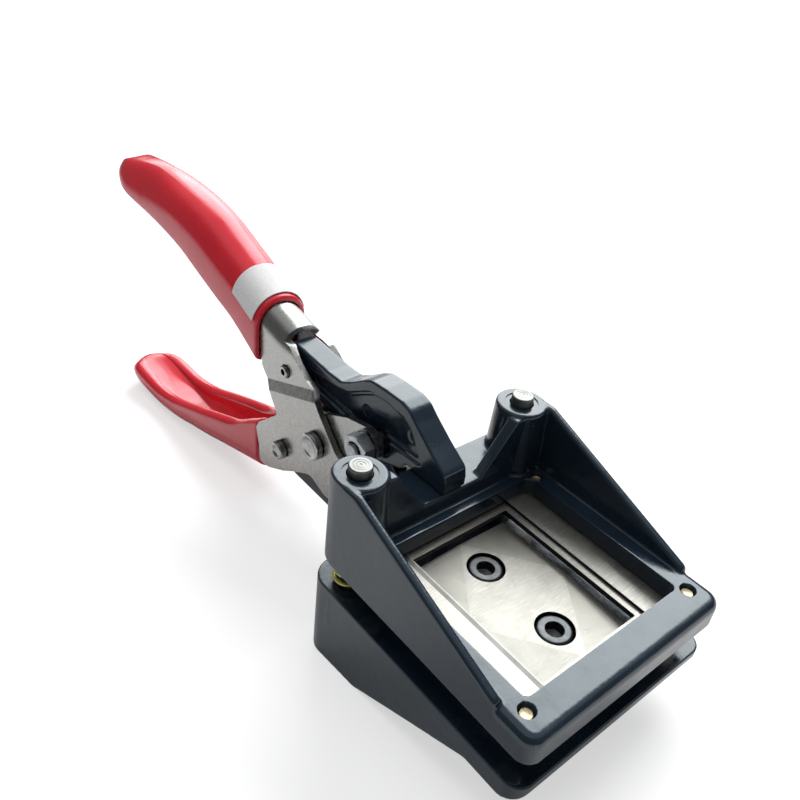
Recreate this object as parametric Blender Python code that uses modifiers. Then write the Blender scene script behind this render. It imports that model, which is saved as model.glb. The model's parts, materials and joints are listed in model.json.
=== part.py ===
"""Hand-held die cutter for small photographs, with two plier grips.

Metres, +Z up. The tool lies as it does on a table: it stands on the lower
frame's skirts and on the belly of the lower grip, so the whole tool is tipped
by a small angle under one empty. The world's origin is the middle of the
punch's cutting face. Inside the empty +X is to the right, +Y runs back to the
grips, the deck of the upper frame is Z = 0 and X = Y = 0 is over the middle
of the punch.
"""
import math

import bmesh
import bpy
from mathutils import Matrix, Vector

# Clearances and overruns
GAP = 0.0003
OVERRUN = 0.004
WELD = 0.000001

# Cut size, punch and die
PHOTO_WIDTH = 0.030
PHOTO_LENGTH = 0.040
LAND_WIDTH = 0.002
LAND_STEP = 0.0011
DIE_THICK = 0.0025
PUNCH_BELOW_DIE = 0.0017
PUNCH_SHEAR = 0.0006
PUNCH_EDGE_SHARE = 0.94
STROKE = 0.005

# Upper frame
WINDOW_SIDE = 0.0093
WINDOW_FRONT = 0.0027
WINDOW_REAR = 0.0018
WINDOW_ROUND = 0.0016
WINDOW_REAR_ROUND = 0.0025
DECK_THICK = 0.0045
FRAME_SIDE = 0.0067
FRAME_FRONT = 0.0083
FRAME_REAR = 0.0156
FRONT_ROUND = 0.0036
REAR_ROUND = 0.0074
DECK_EDGE_ROUND = 0.0020
DIE_BED_SIDE = 0.0041
DIE_BED_FRONT = 0.0049
DIE_BED_REAR = 0.0024
WALL_THICK = 0.0023
WALL_EDGE_ROUND = 0.0008
BOSS_HEIGHT = 0.018
BOSS_TOP_RADIUS = 0.0064
BOSS_FOOT_RADIUS = 0.0072
BOSS_EDGE_ROUND = 0.0007
WALL_FRONT_SHARE = 0.845
WALL_FOOT_RISE = 0.0011
REAR_DECK_RISE = 0.0043
BULKHEAD_AHEAD = 0.0051
BULKHEAD_THICK = 0.0030
NOTCH_HALF = 0.0090
NOTCH_TOP_HALF = 0.0185
SEAT_RING_WIDTH = 0.0011
SEAT_RING_DEPTH = 0.00025

# Guide posts and return springs
POST_RADIUS = 0.00275
POST_INSET = 0.00595
POST_BEHIND_WINDOW = 0.0081
POST_PROUD = 0.0021
POST_ROOT = 0.0118
POST_CHAMFER = 0.0004
SPRING_WIRE = 0.0011
SPRING_MEAN_RADIUS = 0.00365
SPRING_BORE_DEPTH = 0.0162
SPRING_PITCH = 0.0026

# Screws
DIE_SCREW_SIDE = 0.0017
DIE_SCREW_FRONT = 0.0019
DIE_SCREW_REAR = 0.0009
DIE_SCREW_RADIUS = 0.0015
DIE_SCREW_SINK = 0.0010
DIE_HEAD_RADIUS = 0.00275
DIE_HEAD_HEIGHT = 0.0017
DIE_DRIVE_WIDTH = 0.0009
DIE_DRIVE_DEPTH = 0.0009
DIE_HOLE_CHAMFER = 0.0006
PUNCH_SCREW_SPACING = 0.02168
PUNCH_HEAD_RADIUS = 0.0042
PUNCH_HEAD_HEIGHT = 0.0039
PUNCH_HEAD_SINK = 0.0003
PUNCH_COUNTERBORE_RADIUS = 0.00465
PUNCH_SHANK_RADIUS = 0.0025
PUNCH_HEX_ACROSS = 0.0040
PUNCH_HEX_DEPTH = 0.0024
HEAD_CHAMFER = 0.0004

# Lower frame
THROAT = 0.0082
LOWER_REAR_EXTRA = 0.0012
LOWER_PLATE_THICK = 0.0050
SKIRT_THICK = 0.0040
SKIRT_DEPTH = 0.0244
HOLLOW_FRONT_SHARE = 0.24
LOWER_EDGE_ROUND = 0.0009
POST_BOSS_RADIUS = 0.0060
LOWER_FRONT_ROUND = 0.0040
LOWER_REAR_ROUND = 0.0060

# Pins, measured from the main pin
MAIN_PIN_BEHIND_POSTS = 0.0391
MAIN_PIN_DROP = 0.0077
ROLL_PIN_BACK = 0.0173
ROLL_PIN_RISE = 0.0134
STOP_BACK = 0.0159
STOP_DROP = 0.0120
BOLT_AHEAD = 0.0197
BOLT_RISE = 0.0122
FRAME_RIVET_SHARE = 0.72
FRAME_RIVET_DROP = 0.0063

# Sheet steel and the arm
SHEET = 0.0017
FLANGE_INNER_HALF = 0.0046
ARM_HALF = 0.0036
ARM_RISE = 0.0150
ARM_ROUND = 0.0040
ARM_EDGE_ROUND = 0.0009
ARM_POCKET = 0.0016
SPACER_THICK = 0.0009
SPACER_RADIUS = 0.0036
CHEEK_ROUND = 0.0030
CHEEK_AHEAD = 0.0240
JOGGLE_RUN = 0.0028
TAIL_ROUND = 0.0040

# Pins and the link bolt
MAIN_PIN_RADIUS = 0.0030
MAIN_HEAD_RADIUS = 0.0040
MAIN_HEAD_PROUD = 0.0022
STOP_RADIUS = 0.0022
STOP_HEAD_RADIUS = 0.0028
STOP_HEAD_PROUD = 0.00225
CUP_DEPTH = 0.0004
ROLL_PIN_RADIUS = 0.00175
ROLL_PIN_BORE = 0.00095
ROLL_PIN_PROUD = 0.0010
BOLT_RADIUS = 0.0024
BOLT_SLOT_PLAY = 0.0005
HEX_ACROSS = 0.0080
NUT_THICK = 0.0034
BOLT_HEAD_THICK = 0.0034
BOLT_POINT = 0.0009
WASHER_THICK = 0.0008
WASHER_RADIUS = 0.0045
PIN_PLAY = 0.0003

# Grips
VINYL_SKIN = 0.0013
GRIP_BEHIND_MAIN_PIN = 0.0306
UPPER_GRIP_LENGTH = 0.0920
UPPER_GRIP_RISE = 0.036
LOWER_GRIP_LENGTH = 0.0929
LOWER_GRIP_DROP = 0.048
GRIP_FRONT_ROUND = 0.0004
LABEL_THICK = 0.00025
LABEL_START = 0.0014
LABEL_LENGTH = 0.0103
LABEL_EDGE_ANGLE = 12.0

# Counts
ROUND_STEPS = 32
PIN_STEPS = 20
SMALL_STEPS = 16
CORNER_STEPS = 2
BEND_STEPS = 4
LIP_STEPS = 4
POINTS_A_CURL = 8

# Outlines, as shares of the sizes that they follow (see each use)
SKIRT_PROFILE_SHARES = (
    (0.0, 0.0, 0.0), (0.0, -0.131, 0.6), (0.065, -0.217, 0.6), (0.204, -0.225, 0.6),
    (0.437, -0.537, 1.0), (0.710, -0.926, 0.6), (0.966, -1.0, 0.6), (0.990, -0.893, 0.5),
    (1.0, -0.041, 0.0), (1.0, 0.0, 0.0),
)
TAIL_OUTLINE_SHARES = (
    (1.006, -1.908, 1.0), (1.220, -1.650, 0.8), (1.233, -1.192, 1.0), (1.069, -0.442, 1.0),
    (0.818, 0.090, 1.0), (0.503, 0.396, 1.0), (0.0, 0.493, 1.0), (-0.263, 0.381, 1.0),
    (-0.461, 0.172, 1.0), (-0.691, -0.142, 1.0), (-0.921, -0.542, 1.0),
)
CHEEK_OUTLINE_SHARES = (
    (1.150, 1.590, 0.0), (0.983, 1.575, 1.2), (0.809, 1.470, 1.6), (0.607, 1.306, 1.2),
    (0.428, 1.175, 1.2), (0.250, 1.110, 1.0), (0.100, 1.010, 1.2), (-0.021, 0.813, 1.0),
    (-0.371, 0.201, 1.0), (-0.479, 0.142, 0.6),
    (-0.854, 0.052, 1.0), (-1.0, -0.483, 1.4), (-0.854, -1.108, 1.2), (-0.208, -1.175, 1.2),
    (0.104, -0.975, 1.6), (0.555, -1.350, 1.0), (0.873, -1.650, 1.0), (1.312, -1.975, 1.0),
    (1.607, -2.075, 0.6), (1.642, -1.592, 1.0), (1.740, -1.100, 0.4), (1.647, -0.858, 0.6),
    (1.075, -0.133, 0.9), (1.220, 0.082, 1.0), (1.347, 0.313, 1.0), (1.532, 0.440, 0.6),
    (1.728, 0.687, 0.3),
)
JOGGLE_LINE_SHARES = ((1.532, 0.440), (0.318, 1.060))
FLANGE_TOP_SHARES = (
    (-1.208, 0.844, 0.9), (-1.168, 1.172, 0.9), (-1.046, 1.336, 0.9), (-0.888, 1.352, 1.0),
    (-0.513, 1.197, 1.0), (0.0, 0.787, 1.0), (0.377, 0.508, 1.0), (0.943, -0.192, 1.0),
    (1.447, -0.650, 1.0), (1.881, -1.058, 0.3),
)
FLANGE_FOOT_SHARES = (
    (1.943, -2.108, 0.0), (1.447, -1.917, 0.5), (0.950, -1.583, 1.0), (0.604, -1.283, 1.0), (0.113, -0.875, 1.0),
    (-0.254, -0.525, 1.0), (-0.660, 0.303, 1.0), (-0.888, 0.664, 0.9), (-1.117, 0.631, 0.9),
)
ARM_OUTLINE_SHARES = (
    (0.0, 0.127, 0.4), (0.010, 0.300, 0.5), (0.109, 0.553, 1.0), (0.198, 0.807, 1.0),
    (0.239, 0.947, 1.0), (0.286, 1.0, 1.0), (0.390, 0.987, 1.0), (0.475, 0.953, 1.0),
    (0.524, 0.853, 1.0), (0.608, 0.613, 1.0), (0.670, 0.473, 1.0), (0.767, 0.460, 1.0),
    (0.898, 0.490, 1.0), (1.020, 0.520, 1.0), (1.068, 0.390, 0.6), (1.078, 0.087, 0.6),
    (1.067, -0.180, 0.6), (1.020, -0.313, 0.6), (0.898, -0.300, 1.0), (0.735, -0.280, 1.0),
    (0.572, -0.347, 1.0), (0.483, -0.460, 1.0), (0.410, -0.500, 1.0), (0.358, -0.433, 0.7),
    (0.250, -0.250, 0.6),
)
ARM_TOE_SHARE = 0.220
ARM_POCKET_SHARES = (
    (0.128, 0.107, 0.3), (0.224, 0.633, 0.7), (0.273, 0.747, 0.7), (0.369, 0.800, 0.7),
    (0.475, 0.747, 0.7), (0.540, 0.593, 0.7), (0.621, 0.380, 0.7), (0.683, 0.307, 0.7),
    (0.881, 0.240, 0.4), (0.889, -0.100, 0.4), (0.735, -0.113, 0.5), (0.572, -0.160, 0.5),
    (0.490, -0.300, 0.5), (0.410, -0.330, 0.5), (0.370, -0.240, 0.3), (0.361, 0.053, 0.3),
)
UPPER_CREST_SHARES = (
    (-0.114, 0.505), (0.0, 0.566), (0.06, 0.624), (0.15, 0.718), (0.25, 0.804), (0.35, 0.890),
    (0.46, 0.948), (0.58, 0.978), (0.70, 0.978), (0.80, 0.950), (0.88, 0.915), (0.94, 0.882), (1.0, 0.840),
)
UPPER_RIM_SHARES = (
    (0.0, 0.042), (0.06, 0.124), (0.15, 0.235), (0.25, 0.315), (0.35, 0.400), (0.46, 0.495),
    (0.58, 0.570), (0.70, 0.632), (0.80, 0.670), (0.88, 0.700), (0.94, 0.715), (1.0, 0.720),
)
LOWER_FLOOR_SHARES = (
    (-0.09, -0.600), (0.0, -0.659), (0.06, -0.690), (0.15, -0.738), (0.25, -0.795), (0.35, -0.855),
    (0.46, -0.913), (0.58, -0.957), (0.72, -0.982), (0.86, -0.996), (1.0, -1.0),
)
LOWER_RIM_SHARES = (
    (0.0, -0.238), (0.06, -0.312), (0.15, -0.424), (0.25, -0.502), (0.35, -0.578), (0.46, -0.662),
    (0.58, -0.750), (0.72, -0.811), (0.86, -0.813), (1.0, -0.800),
)
UPPER_WIDTH_SHARES = ((-1.0, 1.0), (0.0, 1.0), (0.25, 1.05), (0.60, 1.12), (0.85, 1.12), (1.0, 1.06))
LOWER_WIDTH_SHARES = (
    (-1.0, 1.0), (-0.09, 1.0), (0.0, 1.0), (0.15, 1.16), (0.35, 1.28), (0.50, 1.28),
    (0.70, 1.20), (0.85, 1.14), (1.0, 1.08),
)
STEEL_END_SHARE = 0.90
SHEET_BEND_SHARE = 0.92
TIP_START_SHARE = 0.925
TROUGH_CLOSE_SHARE = 0.86
GRIP_STATION_SHARES = (0.0, 0.04, 0.10, 0.17, 0.25, 0.33, 0.42, 0.51, 0.60, 0.68, 0.76, 0.83, 0.88, 0.925)
TIP_STATION_SHARES = (0.30, 0.55, 0.75, 0.90, 0.975)


def read_line(table, share):
    """A smooth line through a table of shares."""
    keys = [entry[0] for entry in table]
    values = [entry[1] for entry in table]
    if share <= keys[0]:
        return values[0]
    if share >= keys[-1]:
        return values[-1]
    index = max(i for i in range(len(keys) - 1) if keys[i] <= share)

    def slope(at):
        low = max(at - 1, 0)
        high = min(at + 1, len(keys) - 1)
        return (values[high] - values[low]) / (keys[high] - keys[low])

    span = keys[index + 1] - keys[index]
    t = (share - keys[index]) / span
    first = (2 * t ** 3 - 3 * t ** 2 + 1) * values[index]
    second = (t ** 3 - 2 * t ** 2 + t) * span * slope(index)
    third = (-2 * t ** 3 + 3 * t ** 2) * values[index + 1]
    fourth = (t ** 3 - t ** 2) * span * slope(index + 1)
    return first + second + third + fourth


# Places worked out from the named sizes
TOP_Z = 0.0
PHOTO_HALF_X = PHOTO_WIDTH / 2
PHOTO_HALF_Y = PHOTO_LENGTH / 2
WINDOW_X = PHOTO_HALF_X + WINDOW_SIDE
WINDOW_FRONT_Y = -PHOTO_HALF_Y - WINDOW_FRONT
WINDOW_REAR_Y = PHOTO_HALF_Y + WINDOW_REAR
FRAME_X = WINDOW_X + FRAME_SIDE
FRAME_FRONT_Y = WINDOW_FRONT_Y - FRAME_FRONT
FRAME_REAR_Y = WINDOW_REAR_Y + FRAME_REAR
BODY_THICK = DECK_THICK + DIE_THICK
DIE_TOP_Z = -DECK_THICK
FRAME_FOOT_Z = -BODY_THICK
PUNCH_TOP_Z = FRAME_FOOT_Z - PUNCH_BELOW_DIE
LOWER_TOP_Z = FRAME_FOOT_Z - THROAT
LOWER_REAR_Y = FRAME_REAR_Y + LOWER_REAR_EXTRA
PLATE_FOOT_Z = LOWER_TOP_Z - LOWER_PLATE_THICK
DIE_X = WINDOW_X + DIE_BED_SIDE
DIE_FRONT_Y = WINDOW_FRONT_Y - DIE_BED_FRONT
DIE_REAR_Y = WINDOW_REAR_Y + DIE_BED_REAR
DIE_SCREW_X = WINDOW_X + DIE_SCREW_SIDE
DIE_SCREW_FRONT_Y = WINDOW_FRONT_Y - DIE_SCREW_FRONT
DIE_SCREW_REAR_Y = WINDOW_REAR_Y - DIE_SCREW_REAR
POST_X = FRAME_X - POST_INSET
POST_Y = WINDOW_REAR_Y + POST_BEHIND_WINDOW
POST_TOP_Z = BOSS_HEIGHT + POST_PROUD
BORE_TOP_Z = FRAME_FOOT_Z + SPRING_BORE_DEPTH
SPRING_OUTER = SPRING_MEAN_RADIUS + SPRING_WIRE / 2
SPRING_BORE_RADIUS = SPRING_OUTER + GAP
BULKHEAD_Y = POST_Y - BULKHEAD_AHEAD
NOTCH_Z = REAR_DECK_RISE
MAIN_Y = POST_Y + MAIN_PIN_BEHIND_POSTS
MAIN_Z = -MAIN_PIN_DROP
ROLL_Y = MAIN_Y + ROLL_PIN_BACK
ROLL_Z = MAIN_Z + ROLL_PIN_RISE
STOP_Y = MAIN_Y + STOP_BACK
STOP_Z = MAIN_Z - STOP_DROP
BOLT_Y = MAIN_Y - BOLT_AHEAD
BOLT_Z = MAIN_Z + BOLT_RISE
FRAME_RIVET_Y = MAIN_Y - CHEEK_AHEAD * FRAME_RIVET_SHARE
FRAME_RIVET_Z = MAIN_Z - FRAME_RIVET_DROP
ARM_TOE_Y = BULKHEAD_Y
ARM_TOE_Z = NOTCH_Z + GAP
ARM_SPAN = ROLL_Y - ARM_TOE_Y
UPPER_INNER_HALF = ARM_HALF + SPACER_THICK + 2 * GAP
UPPER_MID_HALF = UPPER_INNER_HALF + SHEET / 2
UPPER_OUTER_HALF = UPPER_INNER_HALF + SHEET
LOWER_MID_HALF = FLANGE_INNER_HALF + SHEET / 2
LOWER_OUTER_HALF = FLANGE_INNER_HALF + SHEET
CHEEK_INNER_HALF = LOWER_OUTER_HALF + GAP
CHEEK_OUTER_HALF = CHEEK_INNER_HALF + SHEET
JOGGLE = CHEEK_INNER_HALF - UPPER_INNER_HALF
TAIL_HALF = FLANGE_INNER_HALF - 2 * GAP
GRIP_Y = MAIN_Y + GRIP_BEHIND_MAIN_PIN
STEEL_HALF = SHEET / 2
POCKET_HALF = STEEL_HALF + GAP
GRIP_HALF = POCKET_HALF + VINYL_SKIN

# Travel: the arm and the lower handle follow the upper frame's stroke
ARM_TURN = STROKE / ARM_SPAN
HANDLE_TURN = ARM_TURN * (ROLL_Y - BOLT_Y) / BOLT_AHEAD
BOLT_SLIDE = BOLT_RISE * HANDLE_TURN

# Standing on the skirts and on the belly of the lower grip
SKIRT_FOOT_Y = FRAME_FRONT_Y + SKIRT_PROFILE_SHARES[6][0] * (LOWER_REAR_Y - FRAME_FRONT_Y)
SKIRT_FOOT_Z = LOWER_TOP_Z - SKIRT_DEPTH
REST_SLOPE = max(
    (SKIRT_FOOT_Z - MAIN_Z - LOWER_GRIP_DROP * read_line(LOWER_FLOOR_SHARES, share))
    / (GRIP_Y + LOWER_GRIP_LENGTH * share - SKIRT_FOOT_Y)
    for share in GRIP_STATION_SHARES
)
TIP_ANGLE = math.atan(REST_SLOPE)


def clear_scene():
    for item in list(bpy.data.objects):
        bpy.data.objects.remove(item, do_unlink=True)


def new_collection(name):
    made = bpy.data.collections.new(name)
    bpy.context.scene.collection.children.link(made)
    return made


def new_material(name, colour, roughness, metallic):
    made = bpy.data.materials.new(name)
    made.use_nodes = True
    shader = made.node_tree.nodes["Principled BSDF"]
    shader.inputs["Base Color"].default_value = (*colour, 1.0)
    shader.inputs["Roughness"].default_value = roughness
    shader.inputs["Metallic"].default_value = metallic
    made.diffuse_color = (*colour, 1.0)
    return made


clear_scene()
PARTS = new_collection("photo_die_cutter")
CUTTERS = new_collection("cutters")

TILT = bpy.data.objects.new("tool_frame", None)
TILT.rotation_euler = (TIP_ANGLE, 0, 0)
TILT.location = (0, PUNCH_TOP_Z * math.sin(TIP_ANGLE), -PUNCH_TOP_Z * math.cos(TIP_ANGLE))
PARTS.objects.link(TILT)


def new_pivot(name, y, z):
    made = bpy.data.objects.new(name, None)
    made.location = (0, y, z)
    made.parent = TILT
    PARTS.objects.link(made)
    return made


HANDLE_PIVOT = new_pivot("lower_handle_pivot", MAIN_Y, MAIN_Z)
ARM_PIVOT = new_pivot("arm_pivot", ROLL_Y, ROLL_Z)
SLIDE_PIVOT = new_pivot("upper_frame_slide", POST_Y, TOP_Z)

ENAMEL = new_material("black_enamel", (0.012, 0.014, 0.018), 0.28, 0.0)
GROUND = new_material("ground_steel", (0.62, 0.60, 0.56), 0.30, 1.0)
SHEET_STEEL = new_material("sheet_steel", (0.52, 0.52, 0.50), 0.38, 1.0)
VINYL = new_material("red_vinyl", (0.60, 0.025, 0.03), 0.30, 0.0)
PAPER = new_material("white_paper", (0.85, 0.85, 0.85), 0.60, 0.0)
BLACK_OXIDE = new_material("black_oxide", (0.02, 0.02, 0.022), 0.35, 0.8)
BRIGHT = new_material("bright_steel", (0.60, 0.60, 0.58), 0.25, 1.0)
ZINC = new_material("zinc_plate", (0.55, 0.56, 0.56), 0.32, 1.0)
BRASS = new_material("brass", (0.60, 0.45, 0.22), 0.35, 1.0)
YELLOW_ZINC = new_material("yellow_zinc", (0.48, 0.44, 0.12), 0.40, 0.8)


# Helpers

def adopt(item, pivot):
    """Hang a piece under a pivot and keep it where it is in the tool frame."""
    item.parent = pivot
    if pivot is not TILT:
        item.location = item.location - pivot.location


def keep(item, material, pivot=TILT, smooth_angle=35.0):
    """Make an object a node of the part."""
    PARTS.objects.link(item)
    item.data.materials.clear()
    item.data.materials.append(material)
    if smooth_angle:
        item.data.shade_smooth()
        item.data.set_sharp_from_angle(angle=math.radians(smooth_angle))
    adopt(item, pivot)
    return item


def guide(item):
    """Make an object a cutter or a piece that another one takes in."""
    CUTTERS.objects.link(item)
    item.hide_render = True
    item.display_type = 'WIRE'
    item.parent = TILT
    return item


def boolean(target, other, operation):
    step = target.modifiers.new(other.name, 'BOOLEAN')
    step.operation = operation
    step.solver = 'EXACT'
    step.object = other


def cut(target, *others):
    for other in others:
        boolean(target, guide(other), 'DIFFERENCE')


def join(target, *others):
    for other in others:
        boolean(target, guide(other), 'UNION')


def trim(target, other):
    boolean(target, guide(other), 'INTERSECT')


def bevel(item, width, segments=2, angle=30.0):
    step = item.modifiers.new("edges", 'BEVEL')
    step.width = width
    step.segments = segments
    step.limit_method = 'ANGLE'
    step.angle_limit = math.radians(angle)
    step.use_clamp_overlap = True
    return step


def from_bmesh(name, bm):
    bmesh.ops.recalc_face_normals(bm, faces=bm.faces)
    mesh = bpy.data.meshes.new(name)
    bm.to_mesh(mesh)
    bm.free()
    return bpy.data.objects.new(name, mesh)


def settle(item):
    """Apply an object's modifiers, for work on its own points afterwards."""
    bpy.context.scene.collection.objects.link(item)
    item.parent = TILT
    bpy.context.view_layer.update()
    graph = bpy.context.evaluated_depsgraph_get()
    mesh = bpy.data.meshes.new_from_object(item.evaluated_get(graph))
    bpy.context.scene.collection.objects.unlink(item)
    item.parent = None
    item.modifiers.clear()
    item.data = mesh
    return item


def box(name, low, high):
    bm = bmesh.new()
    bmesh.ops.create_cube(bm, size=1.0)
    size = Vector(high) - Vector(low)
    middle = (Vector(high) + Vector(low)) / 2
    bmesh.ops.scale(bm, vec=size, verts=bm.verts)
    bmesh.ops.translate(bm, vec=middle, verts=bm.verts)
    return from_bmesh(name, bm)


AXES = {
    'Z': Matrix.Identity(4),
    'X': Matrix(((0, 0, 1, 0), (1, 0, 0, 0), (0, 1, 0, 0), (0, 0, 0, 1))),
    'Y': Matrix(((1, 0, 0, 0), (0, 0, -1, 0), (0, 1, 0, 0), (0, 0, 0, 1))),
}


def cylinder(name, radius, start, end, axis, centre, steps, end_radius=None):
    """A cylinder or cone along an axis, from start to end on that axis."""
    bm = bmesh.new()
    top = radius if end_radius is None else end_radius
    bmesh.ops.create_cone(bm, cap_ends=True, segments=steps, radius1=radius, radius2=top, depth=end - start)
    bmesh.ops.translate(bm, vec=(0, 0, (start + end) / 2), verts=bm.verts)
    bmesh.ops.transform(bm, matrix=AXES[axis], verts=bm.verts)
    bmesh.ops.translate(bm, vec=centre, verts=bm.verts)
    return from_bmesh(name, bm)


def turned(name, profile, axis, centre, steps):
    """A turned piece: (radius, height) pairs from the top down."""
    bm = bmesh.new()
    points = [bm.verts.new((radius, 0, height)) for radius, height in profile]
    for first, second in zip(points, points[1:]):
        bm.edges.new((first, second))
    mesh = bpy.data.meshes.new(name)
    bm.to_mesh(mesh)
    bm.free()
    mesh.transform(Matrix.Identity(4))
    item = bpy.data.objects.new(name, mesh)
    screw = item.modifiers.new("turn", 'SCREW')
    screw.axis = 'Z'
    screw.steps = steps
    screw.render_steps = steps
    screw.use_merge_vertices = True
    screw.merge_threshold = WELD
    screw.use_smooth_shade = False
    settle(item)
    item.data.transform(Matrix.Translation(centre) @ AXES[axis])
    return item


def rounded(corners, radius):
    """Round the corners of an outline: each corner is (u, v, share of the radius)."""
    count = len(corners)
    points = []
    for index, (u, v, share) in enumerate(corners):
        here = Vector((u, v))
        before = Vector(corners[index - 1][:2])
        after = Vector(corners[(index + 1) % count][:2])
        to_before = before - here
        to_after = after - here
        wanted = radius * share
        turn = math.pi - to_before.angle(to_after)
        if wanted <= 0 or turn < math.radians(4.0):
            points.append(here)
            continue
        reach = min(wanted * math.tan(turn / 2), to_before.length * 0.48, to_after.length * 0.48)
        start = here + to_before.normalized() * reach
        end = here + to_after.normalized() * reach
        for step in range(CORNER_STEPS + 1):
            part = step / CORNER_STEPS
            first = start.lerp(here, part)
            second = here.lerp(end, part)
            points.append(first.lerp(second, part))
    return points


def outline(name, points, low, high, axis):
    """A flat outline, filled and extruded from low to high along an axis."""
    curve = bpy.data.curves.new(name, 'CURVE')
    curve.dimensions = '2D'
    curve.fill_mode = 'BOTH'
    curve.extrude = (high - low) / 2
    spline = curve.splines.new('POLY')
    spline.points.add(len(points) - 1)
    for slot, point in zip(spline.points, points):
        slot.co = (point[0], point[1], 0, 1)
    spline.use_cyclic_u = True
    flat = bpy.data.objects.new(name + "_curve", curve)
    bpy.context.scene.collection.objects.link(flat)
    bpy.context.view_layer.update()
    graph = bpy.context.evaluated_depsgraph_get()
    mesh = bpy.data.meshes.new_from_object(flat.evaluated_get(graph))
    bpy.data.objects.remove(flat, do_unlink=True)
    bm = bmesh.new()
    bm.from_mesh(mesh)
    bpy.data.meshes.remove(mesh)
    bmesh.ops.remove_doubles(bm, verts=bm.verts, dist=WELD)
    bmesh.ops.dissolve_limit(bm, angle_limit=math.radians(0.5), verts=bm.verts, edges=bm.edges)
    bmesh.ops.translate(bm, vec=(0, 0, (low + high) / 2), verts=bm.verts)
    bmesh.ops.transform(bm, matrix=AXES[axis], verts=bm.verts)
    return from_bmesh(name, bm)


def loft(name, rings):
    """A closed skin through rings of equal counts, capped at both ends."""
    bm = bmesh.new()
    rows = [[bm.verts.new(point) for point in ring] for ring in rings]
    for near, far in zip(rows, rows[1:]):
        for index in range(len(near)):
            following = (index + 1) % len(near)
            bm.faces.new((near[index], near[following], far[following], far[index]))
    bm.faces.new(list(reversed(rows[0])))
    bm.faces.new(rows[-1])
    return from_bmesh(name, bm)


def around_main(corners, ahead, behind, up, down):
    """Place an outline round the main pin: shares of a length on each side."""
    placed = []
    for u, v, share in corners:
        y = MAIN_Y + u * (behind if u > 0 else ahead)
        z = MAIN_Z + v * (up if v > 0 else down)
        placed.append((y, z, share))
    return placed


def plan(x, front, rear, front_round, rear_round):
    """A plan outline, right and left alike, with its own rounding at each end."""
    unit = max(front_round, rear_round)
    corners = [(-x, front, front_round / unit), (x, front, front_round / unit)]
    corners += [(x, rear, rear_round / unit), (-x, rear, rear_round / unit)]
    return rounded_arcs(corners, unit)


def rounded_arcs(corners, radius):
    """As rounded(), with true arcs for large corners."""
    count = len(corners)
    points = []
    for index, (u, v, share) in enumerate(corners):
        here = Vector((u, v))
        to_before = (Vector(corners[index - 1][:2]) - here).normalized()
        to_after = (Vector(corners[(index + 1) % count][:2]) - here).normalized()
        reach = radius * share
        if reach <= 0:
            points.append(here)
            continue
        centre = here + (to_before + to_after) * reach
        for step in range(BEND_STEPS + 2):
            angle = math.pi / 2 * step / (BEND_STEPS + 1)
            offset = -to_after * reach * math.cos(angle) - to_before * reach * math.sin(angle)
            points.append(centre + offset)
    return points


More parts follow.
